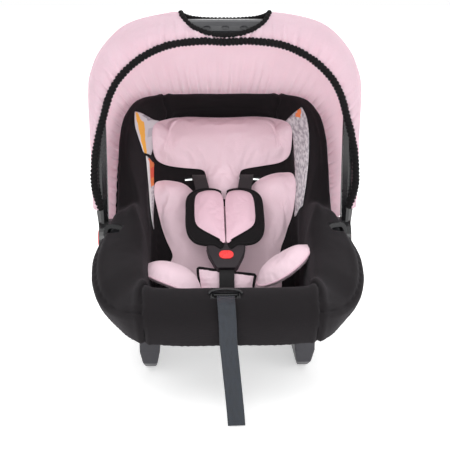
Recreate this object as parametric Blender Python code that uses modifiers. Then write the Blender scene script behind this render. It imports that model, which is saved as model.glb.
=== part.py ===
"""Infant carrier car seat with a folding handle, a fabric canopy and a three-point harness.

Frame: +X to the seat's left-hand side as its occupant's mirror image, -Y towards the feet, +Z up, in metres.
The design is drawn in millimetres around the handle's pivot line, and SHIFT_Y moves it so that the
origin lies under the middle of the seat's box, on the floor.
"""

import math

import bmesh
import bpy
from mathutils import Matrix, Vector

MM = 0.001

# Driving dimensions, in millimetres.
SHIFT_Y = 23.9  # from the pivot line to the middle of the box
PIVOT_Z = 200.0
HANDLE_HALF_WIDTH = 204.0  # to the middle of each arm
HANDLE_TOP_Z = 557.0  # to the middle of the arch
HANDLE_CORNER = 112.0
ARM_WIDE, ARM_DEEP = 22.0, 32.0
BACK_TILT = math.radians(46.8)
COVER_THICK = 4.0
COVER_GAP = 1.5
SHELL_THICK = 2.8
WEB_WIDE, WEB_THICK = 25.0, 1.4
SHOULDER_X = 44.0
RUNNER_X = 128.0
PIVOT = Vector((0, 0, PIVOT_Z))

# The bucket's ribs, from the middle of the front lip round to the middle of the head end, on the +X side.
# Each has its spine (y, z), then (x, y, z) of its crease, ridge, outer edge, cover hem and shell foot.
RIBS = [
    ((-205, 145), (0, -240, 175), (0, -262, 196), (0, -314, 160), (0, -303, 121), (0, -286, 114)),
    ((-200, 142), (60, -236, 173), (70, -260, 195), (72, -311, 159), (72, -300, 120), (71, -284, 113)),
    ((-190, 136), (98, -220, 164), (122, -246, 193), (138, -291, 155), (138, -280, 120), (133, -266, 112)),
    ((-172, 126), (112, -194, 146), (132, -212, 194), (184, -240, 155), (172, -226, 123), (160, -214, 113)),
    ((-148, 113), (114, -160, 130), (136, -172, 202), (208, -192, 175), (197, -186, 136), (180, -176, 110)),
    ((-112, 94), (114, -118, 112), (138, -122, 211), (214, -132, 196), (205, -130, 146), (188, -124, 102)),
    ((-72, 80), (114, -70, 100), (140, -66, 236), (207, -70, 212), (201, -72, 157), (186, -70, 88)),
    ((-38, 90), (114, -30, 119), (150, -22, 257), (194, -14, 233), (190, -10, 162), (178, -5, 80)),
    ((12, 143), (114, 12, 158), (150, 28, 257), (188, 34, 239), (186, 46, 186), (176, 60, 108)),
    ((72, 208), (114, 74, 212), (164, 62, 316), (187, 74, 310), (184, 110, 268), (177, 136, 200)),
    ((132, 273), (113, 136, 280), (163, 102, 360), (186, 114, 358), (182, 152, 316), (175, 180, 270)),
    ((182, 326), (108, 186, 332), (152, 146, 392), (176, 158, 393), (172, 196, 358), (165, 216, 320)),
    ((206, 350), (88, 218, 365), (128, 184, 407), (150, 197, 414), (148, 232, 388), (140, 246, 352)),
    ((214, 359), (50, 230, 378), (80, 210, 408), (82, 232, 416), (82, 260, 397), (80, 271, 362)),
    ((216, 361), (0, 232, 381), (0, 213, 408), (0, 236, 416), (0, 265, 397), (0, 276, 362)),
]
SEGMENTS_ALONG = 2
SEGMENTS_ACROSS = (2, 2, 1, 1, 1, 2, 1)
COVER_SEGMENTS = sum(SEGMENTS_ACROSS[:-1])

HUB_RADIUS = 34.0
HUB_HOLE = 34.5
SHOULDER_RIB = 10.06  # where the shoulder slots are
GUIDE_AT = (186.0, -46.0, 222.0)
GUIDE_TURN = (70.0, 0.0, 28.0)
CROTCH_SLOT = Vector((0, -108, 92))
ADJUSTER_AT = Vector((-8, -281, 190.5))  # the middle of its opening in the lip
ADJUSTER_TILT = 38.0
BUCKLE_AT = Vector((0, -65, 181))  # the middle of the buckle
BUCKLE_TILT = math.radians(33)
PAD_AT = Vector((0, 14.4, 238.6))
PAD_TILT = math.radians(27)
BUTTON_TRAVEL = 4.0


# ---------------------------------------------------------------- helpers


def clear_scene():
    for obj in list(bpy.data.objects):
        bpy.data.objects.remove(obj)


def new_collection(name):
    made = bpy.data.collections.new(name)
    bpy.context.scene.collection.children.link(made)
    return made


def material(name, colour, roughness=0.6, metallic=0.0):
    made = bpy.data.materials.new(name)
    made.use_nodes = True
    shader = made.node_tree.nodes["Principled BSDF"]
    shader.inputs["Base Color"].default_value = (*colour, 1.0)
    shader.inputs["Roughness"].default_value = roughness
    shader.inputs["Metallic"].default_value = metallic
    return made


def add(name, data, finish=None, into=None):
    """A new object in the seat's collection, or in another one."""
    obj = bpy.data.objects.new(name, data)
    (into or SEAT).objects.link(obj)
    if finish is not None:
        obj.data.materials.append(finish)
    obj.parent = ROOT
    return obj


def hidden(obj):
    obj.hide_render = True
    obj.display_type = "WIRE"
    return obj


def to_metres(points):
    return [Vector(p) * MM for p in points]


def smooth_line(points, steps):
    """A Catmull-Rom line through points, with that many steps in each span."""
    points = [Vector(p) for p in points]
    steps = [steps] * (len(points) - 1) if isinstance(steps, int) else list(steps)
    ends = [2 * points[0] - points[1], *points, 2 * points[-1] - points[-2]]
    return spline_through(ends, steps)


def spline_through(ends, steps):
    """The Catmull-Rom line through all of ends but its first and last point."""
    line = [ends[1].copy()]
    for i, count in enumerate(steps):
        a, b, c, d = ends[i : i + 4]
        for k in range(1, count + 1):
            t = k / count
            line.append(
                0.5 * ((2 * b) + (c - a) * t + (2 * a - 5 * b + 4 * c - d) * t**2 + (3 * b - a - 3 * c + d) * t**3)
            )
    return line


def mirrored(point):
    return Vector((-point.x, point.y, point.z))


def grid_mesh(name, rows):
    """A sheet of quads through rows of points, given in millimetres."""
    mesh = bpy.data.meshes.new(name)
    wide = len(rows[0])
    faces = [
        (i * wide + j, i * wide + j + 1, (i + 1) * wide + j + 1, (i + 1) * wide + j)
        for i in range(len(rows) - 1)
        for j in range(wide - 1)
    ]
    mesh.from_pydata(to_metres(p for row in rows for p in row), [], faces)
    return mesh


def solidify(obj, thick, offset=-1.0):
    modifier = obj.modifiers.new("thickness", "SOLIDIFY")
    modifier.thickness = thick * MM
    modifier.offset = offset
    return modifier


def mirror_x(obj):
    modifier = obj.modifiers.new("other_side", "MIRROR")
    modifier.merge_threshold = 0.0001
    return modifier


def boolean(obj, other, operation="DIFFERENCE"):
    modifier = obj.modifiers.new(operation.lower(), "BOOLEAN")
    modifier.operation = operation
    modifier.object = other
    return modifier


def bevel(obj, width, segments=2, angle=40):
    modifier = obj.modifiers.new("rounded", "BEVEL")
    modifier.width = width * MM
    modifier.segments = segments
    modifier.limit_method = "ANGLE"
    modifier.angle_limit = math.radians(angle)
    return modifier


def baked(obj):
    """obj with its modifiers applied, as a mesh of its own."""
    bpy.context.view_layer.update()
    graph = bpy.context.evaluated_depsgraph_get()
    mesh = bpy.data.meshes.new_from_object(obj.evaluated_get(graph))
    bm = bmesh.new()
    bm.from_mesh(mesh)
    bmesh.ops.remove_doubles(bm, verts=bm.verts, dist=0.00001)
    bm.to_mesh(mesh)
    bm.free()
    made = bpy.data.objects.new(obj.name + "_mesh", mesh)
    for group in obj.users_collection:
        group.objects.link(made)
    made.parent = obj.parent
    made.matrix_local = obj.matrix_local.copy()
    name = obj.name
    bpy.data.objects.remove(obj)
    made.name = name
    return made


def union(name, pieces):
    """The pieces joined into one body under that name."""
    first, *others = pieces
    for other in others:
        boolean(first, other, "UNION")
    made = baked(first)
    for other in others:
        bpy.data.objects.remove(other)
    made.name = name
    return made


def box(name, size, at, finish=None, into=None, turn=(0, 0, 0)):
    """A box of that size, centred at a point, turned by (x, y, z) in degrees."""
    mesh = bpy.data.meshes.new(name)
    bm = bmesh.new()
    bmesh.ops.create_cube(bm, size=1.0)
    bmesh.ops.scale(bm, vec=Vector(size) * MM, verts=bm.verts)
    bm.to_mesh(mesh)
    bm.free()
    obj = add(name, mesh, finish, into)
    place(obj, at, turn)
    return obj


def cylinder(name, radius, length, at, axis="Z", finish=None, into=None, sides=32, radius_2=None):
    """A cylinder or cone centred at a point, along an axis, from radius to radius_2."""
    mesh = bpy.data.meshes.new(name)
    bm = bmesh.new()
    second = radius if radius_2 is None else radius_2
    bmesh.ops.create_cone(
        bm, cap_ends=True, segments=sides, radius1=radius * MM, radius2=second * MM, depth=length * MM
    )
    turns = {"X": (0, 90, 0), "-X": (0, -90, 0), "Y": (-90, 0, 0), "Z": (0, 0, 0)}
    bm.to_mesh(mesh)
    bm.free()
    obj = add(name, mesh, finish, into)
    place(obj, at, turns[axis])
    return obj


def ellipsoid(name, radii, at, turn=(0, 0, 0), finish=None, into=None, segments=20, rings=12):
    mesh = bpy.data.meshes.new(name)
    bm = bmesh.new()
    bmesh.ops.create_uvsphere(bm, u_segments=segments, v_segments=rings, radius=1.0)
    bmesh.ops.scale(bm, vec=Vector(radii) * MM, verts=bm.verts)
    bm.to_mesh(mesh)
    bm.free()
    obj = add(name, mesh, finish, into)
    place(obj, at, turn)
    return obj


def place(obj, at, turn=(0, 0, 0)):
    obj.location = Vector(at) * MM
    obj.rotation_euler = [math.radians(a) for a in turn]
    return obj


def tube(name, line, radius, finish=None, into=None, resolution=2, closed=False):
    """A round bar along a line of points."""
    curve = bpy.data.curves.new(name, "CURVE")
    curve.dimensions = "3D"
    curve.bevel_depth = radius * MM
    curve.bevel_resolution = resolution
    curve.use_fill_caps = not closed
    spline = curve.splines.new("POLY")
    spline.points.add(len(line) - 1)
    for point, at in zip(spline.points, line):
        point.co = (*(Vector(at) * MM), 1.0)
    spline.use_cyclic_u = closed
    return add(name, curve, finish, into)


def plate(name, outline, thick, at, turn, finish=None, into=None, holes=()):
    """A flat plate from a closed outline (x, y), with holes, centred on its own plane."""
    curve = bpy.data.curves.new(name, "CURVE")
    curve.dimensions = "2D"
    curve.fill_mode = "BOTH"
    curve.extrude = thick * MM / 2
    for loop in (outline, *holes):
        spline = curve.splines.new("POLY")
        spline.points.add(len(loop) - 1)
        for point, (x, y) in zip(spline.points, loop):
            point.co = (x * MM, y * MM, 0, 1.0)
        spline.use_cyclic_u = True
    obj = add(name, curve, finish, into)
    place(obj, at, turn)
    return obj


def rounded_rectangle(wide, tall, radius, steps=4, centre=(0, 0)):
    corners = [(1, 1, 0), (-1, 1, 90), (-1, -1, 180), (1, -1, 270)]
    line = []
    for sx, sy, start in corners:
        for k in range(steps + 1):
            a = math.radians(start + 90 * k / steps)
            line.append(
                (
                    centre[0] + sx * (wide / 2 - radius) + radius * math.cos(a),
                    centre[1] + sy * (tall / 2 - radius) + radius * math.sin(a),
                )
            )
    return line


def circle(radius, sides=24, centre=(0, 0)):
    turns = [2 * math.pi * k / sides for k in range(sides)]
    return [(centre[0] + radius * math.cos(a), centre[1] + radius * math.sin(a)) for a in turns]


def strap(name, line, wide, thick, finish, sideways=Vector((1, 0, 0))):
    """Webbing along a line of points, as an open strip with thickness."""
    half = sideways.normalized() * wide / 2
    obj = add(name, grid_mesh(name, [[Vector(p) - half, Vector(p) + half] for p in line]), finish)
    solidify(obj, thick, offset=0.0)
    return obj


# ---------------------------------------------------------------- bucket


def rib_points(rib):
    """The points of one rib, from the spine to the shell's foot."""
    (y, z), crease, ridge, outer, hem, foot = rib
    spine, crease, ridge, outer, hem, foot = (
        Vector((0, y, z)),
        *(Vector(p) for p in (crease, ridge, outer, hem, foot)),
    )
    wall = crease.lerp(ridge, 0.5)
    across = outer - ridge
    crown = ridge.lerp(outer, 0.5) + Vector((0, -0.25, 0.97)) * (5 + 0.06 * across.length)
    return [spine, crease, wall, ridge, crown, outer, hem, foot]


def bucket_grid():
    """The visible face of the bucket's +X half, as rows of points along it."""
    ribs = []
    for rib in RIBS:
        points = rib_points(rib)
        ends = [mirrored(points[1]), *points, 2 * points[-1] - points[-2]]
        if rib in (RIBS[0], RIBS[-1]):
            ends[0] = 2 * points[0] - points[1]
        ribs.append(spline_through(ends, SEGMENTS_ACROSS))
    rows = []
    for j in range(len(ribs[0])):
        line = [rib[j] for rib in ribs]
        ends = [mirrored(line[1]), *line, mirrored(line[-2])]
        rows.append(spline_through(ends, [SEGMENTS_ALONG] * (len(line) - 1)))
    return [[row[i] for row in rows] for i in range(len(rows[0]))]


def normals_of(grid):
    """The unit normal at each point of the grid, pointing out of the padding."""
    found = []
    for i, row in enumerate(grid):
        line = []
        for j, point in enumerate(row):
            before = grid[i - 1][j] if i else mirrored(grid[1][j])
            after = grid[i + 1][j] if i < len(grid) - 1 else mirrored(grid[-2][j])
            inner = row[j - 1] if j else mirrored(row[1])
            outer = row[j + 1] if j < len(row) - 1 else point
            if j == 0 and i in (0, len(grid) - 1):
                inner = point
            line.append((outer - inner).cross(after - before).normalized())
        found.append(line)
    return found


def offset_grid(grid, distance):
    """The grid moved along its normals, with its middle lines kept on the mirror plane."""
    moved = []
    for i, (row, normals) in enumerate(zip(grid, normals_of(grid))):
        line = [p + n * distance for p, n in zip(row, normals)]
        for j, point in enumerate(line):
            if j == 0 or i in (0, len(grid) - 1):
                point.x = 0.0
        moved.append(line)
    return moved


def bucket_solid(name, grid, inset, thick, finish):
    """A skin of the bucket, from inset to inset + thick behind its face."""
    under, over = offset_grid(grid, -inset - thick), offset_grid(grid, -inset)
    obj = add(name, closed_pair(name, under, over, open_start=True, open_ends=True), finish)
    mirror_x(obj)
    return obj


# ---------------------------------------------------------------- padding that lies on the bucket


def face_at(u, v, height=0.0):
    """The point over the bucket's face at rib u and span v of that rib, and its height off it."""
    column, span = 0.0, 0
    while span < len(SEGMENTS_ACROSS) - 1 and v > span + 1:
        column += SEGMENTS_ACROSS[span]
        span += 1
    column += (v - span) * SEGMENTS_ACROSS[span]
    row = min(max(u * SEGMENTS_ALONG, 0.0), len(GRID) - 1.001)
    i, j = int(row), min(int(column), len(GRID[0]) - 2)
    a, b = row - i, column - j

    def blend(grid):
        near = grid[i][j].lerp(grid[i][j + 1], b)
        return near.lerp(grid[i + 1][j].lerp(grid[i + 1][j + 1], b), a)

    return blend(GRID) + blend(NORMALS).normalized() * height


def panel_point(u, out=0.0, x=0.0):
    """A point over the middle panel of the bucket at rib u, at x across."""
    at = face_at(u, 0, out)
    return Vector((x, at.y, at.z))


def padding(name, rows, finish, gap=1.5, halved=True, side=1):
    """A pad over the bucket's face, from rows of (u, v, thickness); halved ones are mirrored at the middle."""
    under = [[face_at(u, v, gap) for u, v, _ in row] for row in rows]
    over = [[face_at(u, v, gap + thick) for u, v, thick in row] for row in rows]
    if halved:
        for row in (*under, *over):
            row[0].x = 0.0
    mesh = closed_pair(name, under, over, open_start=halved)
    obj = add(name, mesh, finish)
    if halved:
        mirror_x(obj)
    elif side < 0:
        for v in mesh.vertices:
            v.co.x = -v.co.x
        mesh.flip_normals()
    return obj


def closed_pair(name, under, over, open_start=False, open_ends=False):
    """A body between two grids of the same size, closed round its rim except where it meets its mirror image."""
    count, wide = len(under), len(under[0])
    points = [p for row in under for p in row] + [p for row in over for p in row]
    base = count * wide
    last = count - 1

    def at(i, j, top):
        return i * wide + j + (base if top else 0)

    faces = []
    for i in range(last):
        for j in range(wide - 1):
            quad = [(i, j), (i, j + 1), (i + 1, j + 1), (i + 1, j)]
            if i == last - 1 and j == 0:
                quad = quad[1:] + quad[:1]  # no face of the last corner may lie in the mirror plane
            for half in (quad[:3], [quad[0], quad[2], quad[3]]):
                faces.append([at(*c, False) for c in half])
                faces.append([at(*c, True) for c in reversed(half)])
    rims = [((i + 1, wide - 1), (i, wide - 1)) for i in range(last)]
    if not open_start:
        rims += [((i, 0), (i + 1, 0)) for i in range(last)]
    if not open_ends:
        rims += [((0, j + 1), (0, j)) for j in range(wide - 1)]
        rims += [((last, j), (last, j + 1)) for j in range(wide - 1)]
    faces += [[at(*a, False), at(*b, False), at(*b, True), at(*a, True)] for a, b in rims]
    mesh = bpy.data.meshes.new(name)
    mesh.from_pydata(to_metres(points), [], faces)
    facing = 0.0
    for face in mesh.polygons:
        if min(face.vertices) >= base:
            k = face.vertices[0]
            facing += face.area * face.normal.dot(points[k] - points[k - base])
    if facing < 0:
        mesh.flip_normals()
    return mesh


def interpolated(table, x):
    """A value from a table of (x, value) pairs, along straight lines."""
    for (x0, a), (x1, b) in zip(table, table[1:]):
        if x <= x1:
            t = 0.0 if x1 == x0 else min(max((x - x0) / (x1 - x0), 0.0), 1.0)
            return a + (b - a) * t
    return table[-1][1]


def crown(s, peak=0.5, power=2.0):
    """A cushion's rounded profile, from 0 at each edge to 1 at its peak."""
    t = s / peak if s < peak else (1 - s) / (1 - peak)
    return (1 - (1 - min(max(t, 0.0), 1.0)) ** power) ** 0.6


def build_head_cushion():
    """The head support: a wide bean that wraps into the wings, with a neck going down between the straps."""
    widths = [(9.58, 0.2), (10.1, 0.25), (10.3, 0.26), (10.4, 1.1), (10.55, 1.75), (11.1, 2.0), (11.7, 1.7), (12.15, 1.1)]
    rows = []
    us = [9.58, 9.8, 10.1, 10.3, 10.4, 10.55, 10.8, 11.1, 11.5, 11.85, 12.15]
    for u in us:
        edge = interpolated(widths, u)
        middle = interpolated([(9.58, 4), (9.8, 13), (10.0, 15), (10.4, 22), (11.1, 26), (11.8, 18), (12.15, 4)], u)
        row = []
        for k in range(8):
            s = k / 7
            rise = (1 - s**4) ** 0.6 * (1 + 0.25 * math.sin(math.pi * s))
            row.append((u, edge * s, 3 + (middle - 3) * rise))
        rows.append(row)
    padding("head_cushion", rows, PINK_FABRIC)


def build_body_insert():
    """The newborn insert: side bolsters beside the harness, and thicker ones under the thighs."""
    rows = []
    for i in range(13):
        t = i / 12
        row = []
        for k in range(9):
            s = k / 8
            top = interpolated([(0, 9.30), (0.4, 9.30), (0.62, 9.98), (1, 9.9)], s)
            bottom = interpolated([(0, 5.7), (0.3, 5.6), (0.6, 4.3), (1, 4.6)], s)
            u = bottom + (top - bottom) * t
            edge = interpolated([(4.2, 1.1), (4.8, 1.75), (5.8, 1.95), (6.8, 1.3), (7.6, 0.78), (8.6, 0.95), (10, 1.12)], u)
            side = interpolated([(4.2, 10), (5.0, 44), (6.2, 44), (7.2, 20), (8.0, 16), (9.0, 22), (9.98, 20)], u)
            end = min(1.0, (1 - abs(2 * t - 1)) * 7)
            bulge = 6 + (side - 6) * crown((s - 0.5) / 0.5, 0.5) * (1 if s > 0.5 else 0)
            row.append((u, edge * s, 3 + (bulge - 3) * (1 if s < 1 else 0) * end**0.6))
        rows.append(row)
    padding("body_insert", rows, PINK_FABRIC)


def build_labels():
    """A plain printed tag stitched to the inside of each wing."""
    for side, word in ((-1, "left"), (1, "right")):
        rows = []
        for k in range(7):
            u = 9.15 + 2.5 * k / 6
            wide = 0.28 + 0.5 * k / 6
            inner = max(1.95, interpolated([(9.15, 1.62), (10.2, 1.75), (11.65, 2.2)], u) + 0.1)
            rows.append([(u, inner, 0.8), (u, inner + wide / 2, 0.8), (u, inner + wide, 0.8)])
        padding(f"label_{word}", rows, TAG, gap=1.2, halved=False, side=side)


# ---------------------------------------------------------------- the seat's pieces


def slot_cutters():
    """The openings that both the shell and the cover have."""
    made = []
    tilt = math.degrees(BACK_TILT)
    for side in (-1, 1):
        at = panel_point(SHOULDER_RIB, 0, side * SHOULDER_X)
        made.append(box("slot", (38, 13, 60), at, into=CUTTERS, turn=(tilt, 0, 0)))
        made.append(cylinder("slot", HUB_HOLE, 60, (side * 200, 0, PIVOT_Z), "X", into=CUTTERS))
        turn = (GUIDE_TURN[0], GUIDE_TURN[1] * side, GUIDE_TURN[2] * side)
        at = (side * GUIDE_AT[0], *GUIDE_AT[1:])
        made.append(box("slot", (43, 31, 44), at, into=CUTTERS, turn=turn))
    made.append(box("slot", (36, 10, 60), CROTCH_SLOT, into=CUTTERS, turn=(-20, 0, 0)))
    made.append(box("slot", (44, 12, 60), ADJUSTER_AT, into=CUTTERS, turn=(ADJUSTER_TILT, 0, 0)))
    return [hidden(obj) for obj in made]


def build_bucket(grid):
    cutters = slot_cutters()
    shell = bucket_solid("seat_shell", grid, COVER_THICK + COVER_GAP, SHELL_THICK, PLASTIC)
    covered = [row[: COVER_SEGMENTS + 1] for row in grid]
    cover = bucket_solid("seat_cover", covered, 0.0, COVER_THICK, BLACK_FABRIC)
    for cutter in cutters:
        boolean(shell, cutter)
        boolean(cover, cutter)
    for side in (-1, 1):
        notch = box("notch", (60, 2 * HUB_HOLE, 60), (side * 200, 0, PIVOT_Z - 30), into=CUTTERS)
        boolean(cover, hidden(notch))


def build_rockers():
    """Two runners under the bowl, each narrowing to a rounded foot."""
    bottom = [(-128, 40), (-118, 16), (-98, 3), (-74, 0), (0, 0), (74, 0), (100, 3), (132, 14), (164, 34)]
    top = [(186, 70), (196, 150), (166, 262), (120, 240), (74, 190), (12, 136), (-30, 100), (-60, 86), (-128, 88)]
    for side, word in ((-1, "left"), (1, "right")):
        runner = baked(plate(f"rocker_{word}", [*bottom, *top], 34, (0, 0, 0), (90, 0, 90), GREY_PLASTIC))
        for v in runner.data.vertices:
            v.co.z *= 1 - 0.45 * max(0.0, 1 - v.co.y / (42 * MM))
        runner.location.x = side * RUNNER_X * MM
        bevel(runner, 5, 2, 35)


def turned(name, profile, at, side, finish, steps=24, closed=False):
    """A body turned about the X axis from (radius, distance) pairs, or a ring from a closed outline."""
    mesh = bpy.data.meshes.new(name)
    points = [(r * MM, 0, d * MM) for r, d in profile]
    count = len(points)
    mesh.from_pydata(points, [(i, (i + 1) % count) for i in range(count if closed else count - 1)], [])
    obj = add(name, mesh, finish)
    screw = obj.modifiers.new("turned", "SCREW")
    screw.steps = screw.render_steps = steps
    screw.use_merge_vertices = True
    screw.merge_threshold = 0.00005
    screw.use_normal_calculate = True
    screw.use_normal_flip = True
    place(obj, at, (0, 90 * side, 0))
    return obj


def build_hub(side, word):
    """The pivot of one arm: fixed socket, toothed lock, springs, release button and pivot bolt."""
    middle = (0, 0, PIVOT_Z)
    socket = [(4.4, 172), (4.4, 191), (21.8, 191), (21.8, 199.5), (HUB_RADIUS, 199.5), (HUB_RADIUS, 172)]
    turned(f"hub_socket_{word}", socket, middle, side, PLASTIC, closed=True)
    gear = []
    for k in range(48):
        a, r = 2 * math.pi * k / 48, (21.0 if k % 4 in (0, 1) else 18.4)
        gear.append((r * math.cos(a), r * math.sin(a)))
    plate(
        f"lock_gear_{word}", gear, 6.4, (side * 199.8, 0, PIVOT_Z), (90, 0, 90), GREY_PLASTIC, holes=[circle(7.8, 12)]
    )
    coil = []
    for k in range(25):
        a = 2 * math.pi * k / 8
        coil.append((side * (192.2 + 3.6 * k / 24), 6.4 * math.cos(a), PIVOT_Z + 6.4 * math.sin(a)))
    tube(f"button_spring_{word}", coil, 0.45, STEEL, resolution=0)
    bolt = [(0, 210.6), (7, 210.6), (7.6, 209.4), (4.0, 209.4), (4.0, 176), (0, 176)]
    turned(f"handle_pivot_bolt_{word}", bolt, middle, side, STEEL, 20)
    cap = cylinder("cap", 14.5, 4.2, (side * 216.1, 0, PIVOT_Z), "X", RED, sides=28)
    legs = []
    for k in range(3):
        a = 2 * math.pi * k / 3 + 0.5
        at = (side * 209.2, 10.4 * math.cos(a), PIVOT_Z + 10.4 * math.sin(a))
        legs.append(cylinder("leg", 1.7, 11.6, at, "X", RED, sides=8))
    button = union(f"handle_button_{word}", [cap, *legs])
    bevel(button, 0.9, 1, 60)


def arch_line(half_width, top, corner, bend=8, foot=PIVOT_Z):
    """The arch's line on the +X side, from the pivot up and over to the middle, as (x, z) pairs."""
    line = [(half_width - 3.4, foot), (half_width - 2.4, foot + 30), (half_width - 0.6, foot + 62), (half_width, foot + 95)]
    line.append((half_width, foot + 170))
    for k in range(bend + 1):
        a = math.pi / 2 * k / bend
        line.append((half_width - corner * (1 - math.cos(a)), top - corner * (1 - math.sin(a))))
    line += [((half_width - corner) * (1 - t), top) for t in (0.35, 0.7, 1.0)]
    return line


def bar(name, line, sections, finish):
    """A bar along a line in the XZ plane, with a (wide, deep) rounded section at each point, mirrored at x = 0."""
    rings = []
    for i, ((x, z), (wide, deep)) in enumerate(zip(line, sections)):
        before, after = line[max(i - 1, 0)], line[min(i + 1, len(line) - 1)]
        along = Vector((after[0] - before[0], 0, after[1] - before[1])).normalized()
        if i == len(line) - 1:
            along = Vector((-1, 0, 0))
        across = Vector((0, 1, 0)).cross(along)
        ring = rounded_rectangle(wide, deep, min(wide, deep) * 0.36, 2 if wide > 24 else 1)
        rings.append([Vector((x, 0, z)) + across * a + Vector((0, b, 0)) for a, b in ring])
    count = len(rings[0])
    points = [p for ring in rings for p in ring]
    faces = [
        (i * count + j, i * count + (j + 1) % count, (i + 1) * count + (j + 1) % count, (i + 1) * count + j)
        for i in range(len(rings) - 1)
        for j in range(count)
    ]
    faces.append(tuple(reversed(range(count))))
    mesh = bpy.data.meshes.new(name)
    mesh.from_pydata(to_metres(points), [], faces)
    bm = bmesh.new()
    bm.from_mesh(mesh)
    for v in bm.verts:
        if abs(v.co.x) < 0.0001:
            v.co.x = 0.0
    bmesh.ops.recalc_face_normals(bm, faces=bm.faces)
    bm.to_mesh(mesh)
    bm.free()
    obj = add(name, mesh, finish)
    mirror_x(obj)
    return obj


def build_handle():
    """The arch with a hub disc on each arm, and the grip clipped round its top."""
    line = arch_line(211.0, HANDLE_TOP_Z, HANDLE_CORNER)
    sections = [(14.4, 30), (16.5, 31), (20, 32), *[(ARM_WIDE, ARM_DEEP)] * (len(line) - 3)]
    arch = bar("arch_bar", line, sections, PLASTIC)
    discs = [cylinder("disc", HUB_RADIUS, 15, (s * 207.5, 0, PIVOT_Z), "X", PLASTIC, sides=32) for s in (-1, 1)]
    arch = union("handle_arch", [arch, *discs])
    for side in (-1, 1):
        for radius, start, end in ((22.4, 199, 206), (15.2, 209, 216), (4.6, 205, 210)):
            hole = cylinder("hole", radius, end - start, (side * (start + end) / 2, 0, PIVOT_Z), "X", into=CUTTERS, sides=24)
            boolean(arch, hidden(hole))
        for k in range(3):
            a = 2 * math.pi * k / 3 + 0.5
            at = (side * 207.5, 10.4 * math.cos(a), PIVOT_Z + 10.4 * math.sin(a))
            boolean(arch, hidden(cylinder("hole", 2.2, 6, at, "X", into=CUTTERS, sides=8)))
    half = 78.0
    ring = [(half, HANDLE_TOP_Z), (half * 0.5, HANDLE_TOP_Z), (0.0, HANDLE_TOP_Z)]
    grip = bar("handle_grip", ring, [(ARM_WIDE + 5, ARM_DEEP + 5)] * 3, GREY_PLASTIC)
    core = bar("core", [(half + 5, HANDLE_TOP_Z), (0.0, HANDLE_TOP_Z)], [(ARM_WIDE + 0.8, ARM_DEEP + 0.8)] * 2, None)
    SEAT.objects.unlink(core)
    CUTTERS.objects.link(core)
    boolean(grip, hidden(core))
    for x in (-30, 0, 30):
        dent = ellipsoid("dent", (8, 4, 4.4), (x, -20.6, HANDLE_TOP_Z + 1), into=CUTTERS, segments=12, rings=8)
        boolean(grip, hidden(dent))


def build_belt_guides():
    """Hooks that route the car's own belt: one on each side and one behind."""
    for side, word in ((-1, "left"), (1, "right")):
        outline = rounded_rectangle(40, 28, 12, 4)
        turn = (GUIDE_TURN[0], 0, GUIDE_TURN[2] * side)
        hook = plate(
            f"belt_guide_{word}", outline, 9, (side * GUIDE_AT[0], *GUIDE_AT[1:]), turn, PLASTIC,
            holes=[rounded_rectangle(25, 13, 6, 3)],
        )
        bevel(baked(hook), 1.6, 1, 50)
    tilt = math.degrees(BACK_TILT)
    hook = plate(
        "belt_guide_rear", rounded_rectangle(76, 30, 10, 3), 10, panel_point(11.3, -15.6), (tilt, 0, 0), PLASTIC,
        holes=[rounded_rectangle(56, 12, 5, 3)],
    )
    bevel(baked(hook), 1.2, 1, 50)


def strap_line(points, steps=3):
    return smooth_line(points, steps)


def in_frame(at, tilt, x=0.0, up=0.0, out=0.0):
    """A point given in a frame tilted about X: x across, up along its face, and out of it."""
    return Vector(
        (at.x + x, at.y + up * math.cos(tilt) - out * math.sin(tilt), at.z + up * math.sin(tilt) + out * math.cos(tilt))
    )


def loop_end(at, tilt, reach=12, tail=20):
    """Webbing coming down to a slot, going through it and back up behind its bar."""
    return [in_frame(at, tilt, 0, up, out) for up, out in ((reach, 2.7), (3.5, 2.5), (-0.4, 0), (3.5, -2.5), (tail, -3))]


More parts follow.
